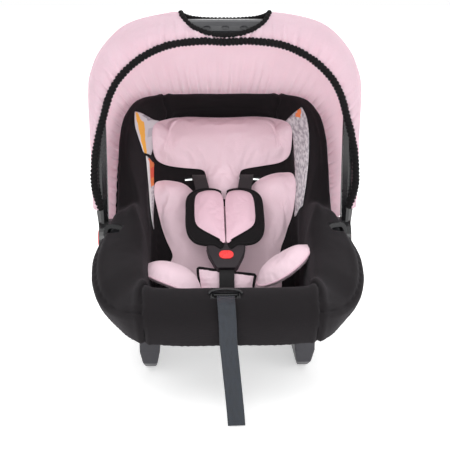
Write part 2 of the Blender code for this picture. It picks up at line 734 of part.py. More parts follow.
def build_harness():
    """Webbing, pads, tongues and the yoke behind the backrest."""
    yoke_at = panel_point(9.35, -17.5)
    plate(
        "harness_yoke", rounded_rectangle(100, 24, 6, 3), 2.2, yoke_at, (math.degrees(BACK_TILT), 0, 0), STEEL,
        holes=[rounded_rectangle(27.5, 6, 2, 2, (x, 2)) for x in (-31, 31)] + [rounded_rectangle(28, 6, 2, 2, (0, -7))],
    )
    for side, word in ((-1, "left"), (1, "right")):
        yoke_slot = in_frame(yoke_at, BACK_TILT, side * 31, 2)
        tongue_slot = in_frame(BUCKLE_AT, BUCKLE_TILT, side * 35, 42, 1.3)
        line = [
            *reversed(loop_end(yoke_slot, BACK_TILT, 14)),
            panel_point(9.8, -15, side * 42),
            panel_point(10.02, -12.5, side * SHOULDER_X),
            panel_point(10.06, -4, side * SHOULDER_X),
            panel_point(10.08, 5, side * SHOULDER_X),
            panel_point(9.95, 17, side * 43),
            *(in_frame(PAD_AT, PAD_TILT, side * 37, up, -8) for up in (66, 20, -20)),
            *loop_end(tongue_slot, BUCKLE_TILT),
        ]
        steps = [1, 1, 1, 1, 2, 2, 1, 1, 2, 2, 1, 1, 1, 1, 1, 1, 1]
        strap(f"shoulder_strap_{word}", smooth_line(line, steps), WEB_WIDE, WEB_THICK, WEBBING)
        outline = [(-32, -69), (-12, -62), (10, -44), (26, -16), (33, 14), (32, 42), (22, 62), (4, 70), (-16, 69), (-28, 61), (-32, 46)]
        outline = [(side * x, y) for x, y in (outline if side > 0 else reversed(outline))]
        pad = plate(f"shoulder_pad_{word}", outline, 6, PAD_AT + Vector((side * 33.6, 0, 0)), (math.degrees(PAD_TILT), 0, 0), PINK_FABRIC)
        bevel(baked(pad), 2.2, 1, 30)
        blade = [(-13, 9), (-16, 1), (-14, -6), (-22, -14), (-24, -30), (-15, -30), (-14.5, -14), (9, -7), (16, -2), (16, 7), (13, 9)]
        blade = [(side * x, y) for x, y in (blade if side > 0 else reversed(blade))]
        plate(
            f"buckle_tongue_{word}", blade, 1.6, tongue_slot, (math.degrees(BUCKLE_TILT), 0, 0), STEEL,
            holes=[rounded_rectangle(27, 6, 2, 2, (0, 0))],
        )


def build_buckle():
    """Two housings round a red release button, its spring and a latch, on the crotch strap."""
    turn = (math.degrees(BUCKLE_TILT), 0, 0)
    shape = [(-31, 27), (-33, 20), (-30, 4), (-19, -22), (-15, -27), (15, -27), (19, -22), (30, 4), (33, 20), (31, 27)]

    def at(x=0.0, up=0.0, out=0.0):
        return in_frame(BUCKLE_AT, BUCKLE_TILT, x, up, out)

    front = baked(plate("buckle_front", list(reversed(shape)), 9, at(out=4.7), turn, PLASTIC))
    bevel(front, 2.4, 2, 50)
    front.modifiers.new("flat_faces", "TRIANGULATE")
    front = baked(front)
    room = box("room", (41.6, 34, 10), at(0, 4, 2.2), into=CUTTERS, turn=turn)
    hole = plate("hole", rounded_rectangle(25, 18, 8.9, 5), 30, at(0, 1, 12), turn, into=CUTTERS)
    for x in (-16.5, 16.5):
        boolean(front, hidden(box("mouth", (14, 16, 6.1), at(x, 23, 0.07), into=CUTTERS, turn=turn)))
    tail = box("mouth", (27.2, 22, 7.3), at(0, -21.3, 0.35), into=CUTTERS, turn=turn)
    for other in (room, baked(hole), tail):
        boolean(front, hidden(other))
    back = baked(plate("buckle_back", list(reversed(shape)), 3.6, at(out=-1.95), turn, PLASTIC))
    bevel(back, 1.2, 1, 50)
    button = baked(plate("buckle_button", rounded_rectangle(24.2, 17.2, 8.5, 6), 4.4, at(0, 1, 8.3), turn, RED))
    bevel(button, 1.1, 2, 50)
    coil = []
    for k in range(25):
        a = 2 * math.pi * k / 8
        coil.append(at(4.4 * math.cos(a), 1 + 4.4 * math.sin(a), 0.9 + 4.6 * k / 24))
    tube("buckle_spring", coil, 0.4, STEEL, resolution=0)
    box("buckle_latch", (34, 3.4, 3), at(0, -10.8, 2.2), STEEL, turn=turn)
    line = [(-118, 74), (-111, 88), (-107, 104), (-103, 132), (-97, 156)]
    line = [Vector((0, y, z)) for y, z in line] + [at(0, -27, 2.0), at(0, -17, 2.0)]
    strap("crotch_strap", smooth_line(line, 2), WEB_WIDE, WEB_THICK, WEBBING)
    anchor = rounded_rectangle(46, 20, 4, 3)
    plate("crotch_anchor", anchor, 2, (0, -113.5, 83.6), (-20, 0, 0), STEEL, holes=[rounded_rectangle(29, 8, 2, 2)])
    pad = plate("crotch_pad", rounded_rectangle(92, 54, 14, 3), 5, (0, -87, 130), (80, 0, 0), PINK_FABRIC)
    bevel(baked(pad), 2, 1, 40)


def build_adjuster():
    """The webbing that tightens the harness, and the clamp it runs through in the lip."""
    tilt = math.radians(ADJUSTER_TILT)
    turn = (ADJUSTER_TILT, 0, 0)

    def at(x=0.0, up=0.0, out=0.0):
        return in_frame(ADJUSTER_AT, tilt, x, up, out)

    housing = box("adjuster_housing", (43, 11.2, 20), at(out=-9), PLASTIC, turn=turn)
    boolean(housing, hidden(box("bore", (40, 8.4, 40), at(out=-9), into=CUTTERS, turn=turn)))
    lever = box("adjuster_lever", (34, 2.4, 15), at(0, 1.8, -7.5), GREY_PLASTIC, turn=turn)
    boolean(lever, hidden(cylinder("bore", 0.95, 60, at(0, 1.8, -11), "X", into=CUTTERS, sides=12)))
    cylinder("adjuster_pin", 0.75, 39.4, at(0, 1.8, -11), "X", STEEL, sides=12)
    yoke_slot = in_frame(panel_point(9.35, -17.5), BACK_TILT, 0, -7)
    line = [in_frame(yoke_slot, BACK_TILT, 0, up, out) for up, out in ((5, 2.6), (1.2, 2.0), (-1, -2.4))]
    for k, (u, out) in enumerate([(9, -17), (8.3, -19), (7.5, -25), (6.6, -26), (5.6, -29), (4.6, -28), (3, -20), (1.4, -17), (0.3, -17)]):
        line.append(panel_point(u, out, -8 * k / 8))
    line += [at(0, -2.2, -22), at(0, -2.2, -8), at(0, -2.2, 2.5)]
    line += [Vector((-8, -301, 190)), Vector((-7, -315, 176)), Vector((-6, -319, 158)), Vector((-5, -319.5, 132))]
    line += [Vector((0, -320, 80)), Vector((7, -322, 5))]
    strap("adjuster_strap", smooth_line(line, 1), WEB_WIDE + 1, WEB_THICK, WEBBING)


# ---------------------------------------------------------------- canopy

# The front edge of the canopy from the middle of the arch down one side, as (x, y, z).
FRONT_EDGE = [
    (0, -25, 536), (45, -25, 537), (95, -25, 530), (138, -25, 510), (171, -25, 481), (190, -25, 450),
    (201, -25, 415), (210, -27, 383), (217, -29, 345), (221, -31, 300), (222, -31, 256),
]
REAR_RIBS = (13.99, 13.5, 13.0, 12.4, 11.9, 11.4, 10.9, 10.3, 9.6, 8.9, 8.3)
CANOPY_CLEAR = 3.5
OPENING = (75, 41, 26)  # half sizes of the hand opening over the grip


def canopy_ribs():
    """Lines across the canopy from its front edge, over the arch, to its rear edge, on the +X side."""
    half, top, corner = 211 + 11 + CANOPY_CLEAR, HANDLE_TOP_Z + 18, HANDLE_CORNER + 18
    over = [(0, top), (50, top), (half - corner, top)]
    for degrees in (30, 55, 75, 90):
        a = math.radians(degrees)
        over.append((half - corner * (1 - math.sin(a)), top - corner * (1 - math.cos(a))))
    over += [(half, 400), (half, 350), (half - 0.5, 300), (half - 1, 258)]
    ribs = []
    for k, ((x, z), edge, u) in enumerate(zip(over, FRONT_EDGE, REAR_RIBS)):
        edge = Vector(edge)
        rear = face_at(u, 6, 8.0)
        if k == 0:
            rear.x = 0.0
        front, back = Vector((x, -13, z)), Vector((x, 16, z))
        face = edge.lerp(front, 0.5)
        face.y = -24
        middle = back.lerp(rear, 0.5)
        outwards = Vector((middle.x, 0, middle.z - 300)).normalized() if k else Vector((0, 0, 1))
        middle += outwards * interpolated([(0, 34), (4, 22), (7, 8), (10, 2)], k)
        ribs.append([edge, face, front, back, middle, rear])
    return ribs


def canopy_grid():
    across = [spline_through([2 * r[0] - r[1], *r, 2 * r[-1] - r[-2]], [1, 2, 1, 3, 4]) for r in canopy_ribs()]
    rows = []
    for j in range(len(across[0])):
        line = [rib[j] for rib in across]
        rows.append(spline_through([mirrored(line[1]), *line, 2 * line[-1] - line[-2]], [2] * 3 + [1] * (len(line) - 4)))
    return [[row[i] for row in rows] for i in range(len(rows[0]))]


def build_canopy():
    """The fabric hood over the arch, with gathered elastic round its edges and its hand opening."""
    grid = canopy_grid()
    sheet = []
    for row in grid:
        first = row[0] + (row[1] - row[0]).normalized() * 7.6
        last = row[-1] + (row[-2] - row[-1]).normalized() * 4.2
        sheet.append([first, *row[1:-1], last])
    canopy = add("canopy", grid_mesh("canopy", sheet), PINK_FABRIC)
    mirror_x(canopy)
    solidify(canopy, 1.4, 0.0)
    middle = Vector((0, 0, HANDLE_TOP_Z + 18))
    boolean(canopy, hidden(ellipsoid("opening", OPENING, middle, into=CUTTERS, segments=28, rings=16)))
    for name, column, radius in (("front_elastic", 0, 5.0), ("rear_elastic", -1, 3.0)):
        line = [row[column] for row in grid]
        tube(name, [mirrored(p) for p in reversed(line[1:])] + line, radius, BLACK_ELASTIC, resolution=1)
    loop = []
    full = [[mirrored(p) for p in row] for row in reversed(grid[1:])] + grid
    for k in range(28):
        a = 2 * math.pi * k / 28
        loop.append(opening_point(full, middle, math.cos(a), math.sin(a)))
    tube("grip_opening_elastic", loop, 2.7, BLACK_ELASTIC, resolution=1, closed=True)


def opening_point(grid, middle, across, along):
    """Where the hand opening's edge crosses the canopy in one direction from its middle."""
    rows, columns = len(grid), len(grid[0])
    start = ((rows - 1) / 2, 3.5)

    def point(reach):
        i = min(max(start[0] + across * reach, 0), rows - 1.001)
        j = min(max(start[1] + along * reach, 0), columns - 1.001)
        a, b = i - int(i), j - int(j)
        i, j = int(i), int(j)
        return grid[i][j].lerp(grid[i][j + 1], b).lerp(grid[i + 1][j].lerp(grid[i + 1][j + 1], b), a)

    low, high = 0.0, 5.0
    for _ in range(30):
        reach = (low + high) / 2
        offset = point(reach) - middle
        inside = sum((c / r) ** 2 for c, r in zip(offset, OPENING)) < 0.72
        low, high = (reach, high) if inside else (low, reach)
    return point(low)


# ---------------------------------------------------------------- run

clear_scene()
SEAT = new_collection("infant_car_seat")
CUTTERS = new_collection("cutters")
CUTTERS.hide_render = True
ROOT = bpy.data.objects.new("seat_origin", None)
SEAT.objects.link(ROOT)
ROOT.location = (0, SHIFT_Y * MM, 0)

PLASTIC = material("shell_plastic", (0.045, 0.045, 0.05), 0.45)
GREY_PLASTIC = material("rocker_plastic", (0.12, 0.115, 0.13), 0.5)
BLACK_FABRIC = material("black_fabric", (0.02, 0.018, 0.02), 0.95)
PINK_FABRIC = material("pink_fabric", (0.80, 0.55, 0.62), 0.9)
WEBBING = material("webbing", (0.03, 0.03, 0.035), 0.6)
STEEL = material("steel", (0.6, 0.6, 0.62), 0.35, 1.0)
RED = material("red_plastic", (0.75, 0.06, 0.04), 0.4)
TAG = material("printed_tag", (0.85, 0.84, 0.82), 0.7)
BLACK_ELASTIC = material("black_elastic", (0.015, 0.014, 0.016), 0.85)

GRID = bucket_grid()
NORMALS = normals_of(GRID)
build_bucket(GRID)
build_rockers()
build_head_cushion()
build_body_insert()
build_labels()
for SIDE, WORD in ((-1, "left"), (1, "right")):
    build_hub(SIDE, WORD)
build_handle()
build_belt_guides()
build_harness()
build_buckle()
build_adjuster()
build_canopy()
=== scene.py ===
import math

import bmesh
import bpy
import numpy as np
from mathutils import Matrix, Vector, noise
from mathutils.geometry import delaunay_2d_cdt


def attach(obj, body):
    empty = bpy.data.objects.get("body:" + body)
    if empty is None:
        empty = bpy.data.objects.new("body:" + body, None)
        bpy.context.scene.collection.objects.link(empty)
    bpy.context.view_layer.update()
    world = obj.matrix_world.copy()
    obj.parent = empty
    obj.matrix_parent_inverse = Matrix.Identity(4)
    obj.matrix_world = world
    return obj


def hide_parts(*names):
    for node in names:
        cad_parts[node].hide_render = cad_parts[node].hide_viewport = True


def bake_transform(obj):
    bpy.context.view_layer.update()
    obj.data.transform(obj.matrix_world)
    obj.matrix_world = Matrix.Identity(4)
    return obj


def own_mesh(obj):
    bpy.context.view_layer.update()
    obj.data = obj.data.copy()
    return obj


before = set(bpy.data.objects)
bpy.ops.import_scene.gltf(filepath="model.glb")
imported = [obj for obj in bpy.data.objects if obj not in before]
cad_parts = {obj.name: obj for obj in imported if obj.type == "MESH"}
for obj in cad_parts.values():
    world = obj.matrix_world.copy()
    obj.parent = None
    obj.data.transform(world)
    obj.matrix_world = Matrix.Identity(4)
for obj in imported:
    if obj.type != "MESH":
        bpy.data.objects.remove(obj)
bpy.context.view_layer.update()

# Lengths are in millimetres round the handle's pivot line, as in the CAD source, until to_row moves them.
MM = 0.001
SHIFT = np.array((0.0, 23.9, 0.0))
MIRROR = np.array((-1.0, 1.0, 1.0))
SIDES = ((-1, "left"), (1, "right"))
PIVOT_Z = 200.0
BACK_TILT = math.radians(46.8)
BUCKLE_AT, BUCKLE_TILT = (0, -65, 181), math.radians(33)
PAD_AT, PAD_TILT = (0, 14.4, 238.6), math.radians(27)
ADJUSTER_AT, ADJUSTER_TILT = (-8, -281, 190.5), math.radians(38)
GUIDE_AT, GUIDE_TURN = (186.0, -46.0, 222.0), (70.0, 0.0, 28.0)
COVER_THICK, SHELL_INSET, SHELL_THICK = 4.0, 5.5, 2.8

# ---- camera, light and floor

TARGET = Vector((0.0, 0.0239, 0.222))
AZIMUTH, ELEVATION, DISTANCE = math.radians(-1.8), math.radians(15), 1.70


def link(name, data):
    obj = bpy.data.objects.new(name, data)
    bpy.context.scene.collection.objects.link(obj)
    return obj


def look(obj, direction):
    """Turns a camera or light to face a direction."""
    obj.rotation_euler = direction.to_track_quat("-Z", "Y").to_euler()


def make_camera():
    level = math.cos(ELEVATION)
    back = Vector((math.sin(AZIMUTH) * level, -math.cos(AZIMUTH) * level, math.sin(ELEVATION)))
    data = bpy.data.cameras.new("camera")
    data.lens, data.sensor_width = 78.7, 36.0
    camera = link("camera", data)
    camera.location = TARGET + back * DISTANCE
    look(camera, -back)
    bpy.context.scene.camera = camera


def area_light(name, at, aim_z, size, power):
    data = bpy.data.lights.new(name, "AREA")
    data.shape, data.size, data.size_y, data.energy = "RECTANGLE", *size, power
    light = link(name, data)
    light.location = at
    look(light, Vector((0, 0, aim_z)) - Vector(at))


make_camera()
bpy.context.scene.view_settings.view_transform = "Standard"
WORLD = bpy.data.worlds.new("studio")
WORLD.use_nodes = True
BACKGROUND = WORLD.node_tree.nodes["Background"].inputs
BACKGROUND["Color"].default_value, BACKGROUND["Strength"].default_value = (1.0, 1.0, 1.0, 1.0), 1.0
bpy.context.scene.world = WORLD
area_light("key", (-0.9, -1.5, 2.1), 0.25, (1.6, 1.2), 13)
area_light("fill", (1.6, -1.4, 0.9), 0.25, (1.4, 1.4), 8)
area_light("front", (0.0, -2.3, 0.75), 0.28, (1.3, 0.9), 12)
area_light("top", (0.1, 0.4, 2.3), 0.3, (1.8, 1.8), 8)
area_light("behind", (0.4, 2.2, 1.2), 0.3, (1.6, 1.2), 8)

# ---- materials


class Finish:
    """A material whose shader nodes are added one at a time."""

    def __init__(self, name, colour, roughness, metallic=0.0, **fixed):
        self.made = bpy.data.materials.new(name)
        self.made.use_nodes = True
        self.tree = self.made.node_tree
        self.shader = self.tree.nodes["Principled BSDF"]
        self.colour = (*colour, 1.0)
        self.put(self.shader, {"Base Color": self.colour, "Roughness": roughness, "Metallic": metallic})
        self.put(self.shader, {key.replace("_", " "): value for key, value in fixed.items()})

    def put(self, node, inputs):
        """Sets a node's inputs, by name or number, to values or to other nodes' outputs."""
        for key, value in inputs.items():
            if isinstance(value, bpy.types.NodeSocket):
                self.tree.links.new(value, node.inputs[key])
            else:
                node.inputs[key].default_value = value
        return node

    def add(self, kind, inputs=None, **settings):
        node = self.tree.nodes.new("ShaderNode" + kind)
        for key, value in settings.items():
            setattr(node, key, value)
        return self.put(node, inputs or {})

    def place(self, scale=(1, 1, 1), turn=(0, 0, 0), uv=False):
        """Object or UV coordinates, both in metres, scaled and turned."""
        source = self.add("TexCoord").outputs["UV" if uv else "Object"]
        return self.add("Mapping", {"Vector": source, "Scale": scale, "Rotation": turn}).outputs[0]

    def noise(self, scale, detail=3.0, vector=None):
        vector = vector or self.place()
        return self.add("TexNoise", {"Vector": vector, "Scale": scale, "Detail": detail}).outputs["Fac"]

    def wave(self, scale, vector, distortion=0.0):
        inputs = {"Vector": vector, "Scale": scale, "Distortion": distortion}
        return self.add("TexWave", inputs).outputs["Fac"]

    def span(self, value, low, high, start=0.0, end=1.0):
        inputs = {"Value": value, "From Min": start, "From Max": end, "To Min": low, "To Max": high}
        return self.add("MapRange", inputs).outputs[0]

    def sum(self, a, b, operation="ADD"):
        return self.add("Math", {0: a, 1: b}, operation=operation).outputs[0]

    def mix(self, factor, a, b):
        return self.add("Mix", {"Factor": factor, 6: a, 7: b}, data_type="RGBA").outputs[2]

    def shade(self, factor):
        """Makes the base colour vary by a factor."""
        node = self.add("VectorMath", {0: self.colour[:3], "Scale": factor}, operation="SCALE")
        self.put(self.shader, {"Base Color": node.outputs[0]})

    def bump(self, height, strength, distance):
        node = self.add("Bump", {"Height": height, "Strength": strength, "Distance": distance})
        self.put(self.shader, {"Normal": node.outputs[0]})
        return self.made


def knit(name, colour, sheen, tint, mottle=0.10, roughness=0.9, **fixed):
    """Fine jersey knit: rows of loops, a soft nap, and slight shade changes across the cloth."""
    f = Finish(
        name, colour, roughness,
        Sheen_Weight=sheen, Sheen_Roughness=0.45, Sheen_Tint=(*tint, 1.0), Specular_IOR_Level=0.2, **fixed,
    )
    rows = f.wave(210.0, f.place(turn=(0.2, 0.1, 0.0)), 1.4)
    loops = f.sum(rows, f.wave(240.0, f.place(turn=(0.1, 0.3, 1.57)), 1.4))
    broad, fine = f.noise(14.0, 2.0), f.noise(420.0, 2.0)
    low, high = 1 - mottle / 2, 1 + mottle / 2
    f.shade(f.sum(f.span(broad, low, high, 0.3, 0.7), f.span(fine, low, high), "MULTIPLY"))
    return f.bump(f.sum(loops, f.sum(fine, 1.6, "MULTIPLY")), 0.35, 0.0004)


def webbing(name, colour, roughness=0.5):
    """Woven polyester tape: ribs across it, lengthwise yarns and a raised edge."""
    f = Finish(name, colour, roughness, Sheen_Weight=0.05, Specular_IOR_Level=0.4)
    ribs, yarns = f.wave(330.0, f.place(uv=True)), f.wave(210.0, f.place(uv=True, turn=(0, 0, 1.57)))
    worn = f.noise(60.0, 3.0, f.place(uv=True, scale=(1, 3, 1)))
    f.shade(f.sum(f.span(worn, 0.8, 1.25, 0.3, 0.7), f.span(ribs, 0.8, 1.1), "MULTIPLY"))
    f.put(f.shader, {"Roughness": f.span(yarns, roughness - 0.08, roughness + 0.1)})
    return f.bump(f.sum(ribs, yarns), 0.5, 0.0005)


def moulded(name, colour, roughness, grain=0.25, edge=1.6, coat=0.0, specular=0.5):
    """Moulded plastic with a fine spark-eroded grain, a painted highlight along its edges, which are also made
    smoother.
    """
    f = Finish(name, colour, roughness, Coat_Weight=coat, Coat_Roughness=0.2, Specular_IOR_Level=specular)
    fine, broad = f.noise(1500.0, 2.0), f.noise(18.0, 4.0)
    # Edges, found by pointiness, get a painted highlight: their colour is lightened up to the edge factor, and their
    # roughness lowered.
    highlit_edges = f.span(f.add("NewGeometry").outputs["Pointiness"], 0.0, 1.0, 0.51, 0.58)
    f.shade(f.sum(f.span(broad, 0.85, 1.15, 0.3, 0.7), f.span(highlit_edges, 1.0, edge), "MULTIPLY"))
    worn = f.span(broad, roughness - 0.06, roughness + 0.08, 0.3, 0.7)
    f.put(f.shader, {"Roughness": f.sum(worn, f.span(highlit_edges, 0.0, -0.08))})
    return f.bump(fine, grain, 0.0002)


def metal(name, colour, roughness):
    """Zinc-plated steel with fine drawing marks."""
    f = Finish(name, colour, roughness, 1.0)
    drawn = f.noise(260.0, 4.0, f.place(scale=(1, 8, 8)))
    f.put(f.shader, {"Roughness": f.span(drawn, roughness - 0.1, roughness + 0.15)})
    return f.bump(drawn, 0.15, 0.0002)


def printed(name, bars):
    """A plain woven tag: mottled grey with blocks of colour, each (low u, high u, low v, high v, colour)."""
    f = Finish(name, (0.62, 0.60, 0.62), 0.75)
    at = f.add("SeparateXYZ", {"Vector": f.place(uv=True)}).outputs
    soft = f.noise(9.0, 5.0, f.place(uv=True, scale=(1.0, 2.6, 1.0)))
    colour = f.mix(f.span(soft, 0.0, 1.0, 0.42, 0.6), (0.70, 0.68, 0.70, 1), (0.36, 0.34, 0.38, 1))
    for low_u, high_u, low_v, high_v, tint in bars:
        across, down = (
            f.sum(f.sum(socket, low, "GREATER_THAN"), f.sum(socket, high, "LESS_THAN"), "MULTIPLY")
            for socket, low, high in ((at[0], low_u, high_u), (at[1], low_v, high_v))
        )
        colour = f.mix(f.sum(across, down, "MULTIPLY"), colour, (*tint, 1))
    f.put(f.shader, {"Base Color": colour})
    return f.bump(f.wave(900.0, f.place()), 0.2, 0.0002)


BLACK = knit("cover_knit", (0.0074, 0.0059, 0.0069), 0.17, (0.30, 0.28, 0.31), 0.16)
PINK = knit("pink_jersey", (0.84, 0.635, 0.705), 0.25, (1.0, 0.9, 0.94), 0.06)
PALE_PINK = knit("pale_pink_jersey", (0.80, 0.61, 0.68), 0.25, (1.0, 0.92, 0.95), 0.06)
PAD_PINK = knit("pad_jersey", (0.73, 0.50, 0.58), 0.2, (1.0, 0.9, 0.94), 0.06)
# Two copies of the hood's pink jersey: the inside's colour is painted lighter against the shade under the canopy,
# and the outside's painted darker against the lamps on it.
HOOD_OUTSIDE_PAINTED_DARKER, HOOD_INSIDE_PAINTED_LIGHTER = (
    knit(
        name, colour, 0.06, (1.0, 0.88, 0.92), 0.05, 0.85,
        Subsurface_Weight=0.7, Subsurface_Radius=(1.0, 0.68, 0.74), Subsurface_Scale=0.010,
    )
    for name, colour in (("hood_outside_painted_darker", (0.69, 0.42, 0.49)), ("hood_inside_painted_lighter", (0.86, 0.575, 0.645)))
)
THREAD = knit("black_thread", (0.005, 0.004, 0.005), 0.08, (0.3, 0.3, 0.3))
PIPING = knit("pink_piping", (0.74, 0.51, 0.59), 0.2, (1.0, 0.8, 0.9))
ELASTIC = knit("elastic_binding", (0.0042, 0.0036, 0.0041), 0.05, (0.3, 0.3, 0.32), 0.2)
BINDING = knit("binding_tape", (0.0060, 0.0050, 0.0058), 0.08, (0.3, 0.3, 0.32), 0.15)
WEB = webbing("harness_webbing", (0.0060, 0.0052, 0.0062), 0.62)
TAIL_WEB = webbing("adjuster_webbing", (0.0075, 0.0115, 0.0190), 0.30)
# The number after each moulded finish's grain, 1.6 where left out, is how far its edges are painted lighter as a
# highlight.
SHELL = moulded("shell_moulding", (0.026, 0.026, 0.029), 0.42, 0.35)
GLOSS = moulded("handle_moulding", (0.011, 0.011, 0.012), 0.26, 0.12, 1.6, 0.2)
DARK = moulded("fitting_moulding", (0.005, 0.005, 0.006), 0.36, 0.10, 1.3, 0.0, 0.45)
GREY = moulded("runner_moulding", (0.028, 0.027, 0.032), 0.44, 0.3, 1.4, 0.0, 0.4)
BUCKLE = moulded("buckle_moulding", (0.0095, 0.0070, 0.0088), 0.42, 0.25, 1.9, 0.0, 0.35)
RED = moulded("button_moulding", (0.80, 0.030, 0.030), 0.28, 0.08, 1.2, 0.4)
STEEL = metal("plated_steel", (0.62, 0.63, 0.65), 0.3)

# ---- the bucket's face

# The bucket's ribs on the right, from the front lip to the head end: the spine's (y, z), then the (x, y, z)
# of its crease, ridge, outer edge, hem and foot.
RIBS = [
    ((-205, 145), (0, -240, 175), (0, -262, 196), (0, -314, 160), (0, -303, 121), (0, -286, 114)),
    ((-200, 142), (60, -236, 173), (70, -260, 195), (72, -311, 159), (72, -300, 120), (71, -284, 113)),
    ((-190, 136), (98, -220, 164), (122, -246, 193), (138, -291, 155), (138, -280, 120), (133, -266, 112)),
    ((-172, 126), (112, -194, 146), (132, -212, 194), (184, -240, 155), (172, -226, 123), (160, -214, 113)),
    ((-148, 113), (114, -160, 130), (136, -172, 202), (208, -192, 175), (197, -186, 136), (180, -176, 110)),
    ((-112, 94), (114, -118, 112), (138, -122, 211), (214, -132, 196), (205, -130, 146), (188, -124, 102)),
    ((-72, 80), (114, -70, 100), (140, -66, 236), (207, -70, 212), (201, -72, 157), (186, -70, 88)),
    ((-38, 90), (114, -30, 119), (150, -22, 257), (194, -14, 233), (190, -10, 162), (178, -5, 80)),
    ((12, 143), (114, 12, 158), (150, 28, 257), (188, 34, 239), (186, 46, 186), (176, 60, 108)),
    ((72, 208), (114, 74, 212), (164, 62, 316), (187, 74, 310), (184, 110, 268), (177, 136, 200)),
    ((132, 273), (113, 136, 280), (163, 102, 360), (186, 114, 358), (182, 152, 316), (175, 180, 270)),
    ((182, 326), (108, 186, 332), (152, 146, 392), (176, 158, 393), (172, 196, 358), (165, 216, 320)),
    ((206, 350), (88, 218, 365), (128, 184, 407), (150, 197, 414), (148, 232, 388), (140, 246, 352)),
    ((214, 359), (50, 230, 378), (80, 210, 408), (82, 232, 416), (82, 260, 397), (80, 271, 362)),
    ((216, 361), (0, 232, 381), (0, 213, 408), (0, 236, 416), (0, 265, 397), (0, 276, 362)),
]


def control_net():
    """The ribs' points with one more row and column on each side, for a Catmull-Rom surface through them."""
    rows = []
    for (y, z), *rest in RIBS:
        crease, ridge, outer, hem, foot = (np.array(p, float) for p in rest)
        across = np.linalg.norm(outer - ridge)
        crown = (ridge + outer) / 2 + np.array((0, -0.25, 0.97)) * (5 + 0.06 * across)
        rows.append([np.array((0.0, y, z)), crease, (crease + ridge) / 2, ridge, crown, outer, hem, foot])
    last = len(rows) - 1
    net = np.zeros((last + 3, 10, 3))
    net[1:-1, 1:-1] = rows
    for i, row in enumerate(rows):
        net[i + 1, 0] = row[1] * MIRROR if 0 < i < last else 2 * row[0] - row[1]
        net[i + 1, 9] = 2 * row[7] - row[6]
    net[0], net[-1] = net[2] * MIRROR, net[-3] * MIRROR
    return net


def weights(t):
    """What four neighbouring points weigh in a Catmull-Rom curve, t of the way along its middle span."""
    t = t[..., None]
    parts = (-t + 2 * t**2 - t**3, 2 - 5 * t**2 + 3 * t**3, t + 4 * t**2 - 3 * t**3, t**3 - t**2)
    return 0.5 * np.concatenate(parts, -1)


def surface_of(net, a, b):
    """Points of the Catmull-Rom surface through a control net, at row a and column b."""
    a, b = np.broadcast_arrays(np.asarray(a, float), np.asarray(b, float))
    i = np.clip(np.floor(a), 0, net.shape[0] - 4).astype(int)
    j = np.clip(np.floor(b), 0, net.shape[1] - 4).astype(int)
    wa, wb = weights(a - i), weights(b - j)
    return sum((wa[..., p] * wb[..., q])[..., None] * net[i + p, j + q] for p in range(4) for q in range(4))


def normal_of(net, a, b):
    """The surface's unit normals, towards the infant in the bucket and inwards in the canopy."""
    step = 0.02
    along = surface_of(net, a + step, b) - surface_of(net, a - step, b)
    across = surface_of(net, a, b + step) - surface_of(net, a, b - step)
    n = np.cross(across, along)
    return n / np.maximum(np.linalg.norm(n, axis=-1, keepdims=True), 1e-9)


BOWL = control_net()


def bowl(u, s, height=0.0):
    """Points at rib u and span s of the bucket's face, and height off it; s is negative on the left side."""
    u, s, height = np.broadcast_arrays(*(np.asarray(x, float) for x in (u, s, height)))
    side = np.where(s < 0, -1.0, 1.0)[..., None] * (1, 0, 0) + (0, 1, 1)
    return (surface_of(BOWL, u, abs(s)) + normal_of(BOWL, u, abs(s)) * height[..., None]) * side


def panel(u, out=0.0, x=0.0):
    """A point over the middle panel of the bucket at rib u, at x across."""
    at = bowl(u, 1e-6, out)
    return np.array((x, at[1], at[2]))


def in_frame(at, tilt, x=0.0, up=0.0, out=0.0):
    """A point in a frame tilted about X: x across, up along its face, and out of it."""
    c, s = math.cos(tilt), math.sin(tilt)
    return np.array((at[0] + x, at[1] + up * c - out * s, at[2] + up * s + out * c))


# ---- mesh helpers


def to_row(points):
    """Points in metres in the row frame."""
    return (np.asarray(points, float) + SHIFT) * MM


def place_uv(mesh, uv):
    """Gives a mesh its places on the cloth, one for each vertex."""
    layer = mesh.uv_layers.new(name="place")
    loops = np.zeros(len(mesh.loops), int)
    mesh.loops.foreach_get("vertex_index", loops)
    layer.data.foreach_set("uv", np.asarray(uv, float)[loops].ravel())


def add_mesh(name, points, faces, finish, uv=None):
    """A smooth mesh object from points in millimetres; uv gives each point's place in metres."""
    mesh = bpy.data.meshes.new(name)
    mesh.from_pydata(to_row(points).tolist(), [], [list(map(int, f)) for f in faces])
    if uv is not None:
        place_uv(mesh, uv)
    mesh.shade_smooth()
    mesh.materials.append(finish)
    return link(name, mesh)


def weld(obj, distance=0.02):
    """Joins points that meet and turns all faces outwards."""
    bm = bmesh.new()
    bm.from_mesh(obj.data)
    bmesh.ops.remove_doubles(bm, verts=bm.verts, dist=distance * MM)
    bmesh.ops.recalc_face_normals(bm, faces=bm.faces)
    bm.to_mesh(obj.data)
    bm.free()
    return obj


def apply_modifiers(obj):
    """Makes an object's modifiers part of its mesh."""
    bpy.context.view_layer.update()
    mesh = bpy.data.meshes.new_from_object(obj.evaluated_get(bpy.context.evaluated_depsgraph_get()))
    obj.modifiers.clear()
    old, obj.data = obj.data, mesh
    mesh.name = obj.name
    bpy.data.meshes.remove(old)


def spline(points, steps, closed=False):
    """A Catmull-Rom line through points, with that many steps in each span."""
    p = np.asarray(points, float)
    if closed:
        ends = np.concatenate((p[-1:], p, p[:2]))
    else:
        ends = np.concatenate((2 * p[:1] - p[1:2], p, 2 * p[-1:] - p[-2:-1]))
    w = weights(np.arange(steps) / steps)
    line = np.concatenate([w @ ends[i : i + 4] for i in range(len(ends) - 3)])
    return line if closed else np.concatenate((line, p[-1:]))


def run_of(line):
    """How far along a line each of its points lies."""
    return np.concatenate(([0], np.cumsum(np.linalg.norm(np.diff(line, axis=0), axis=1))))


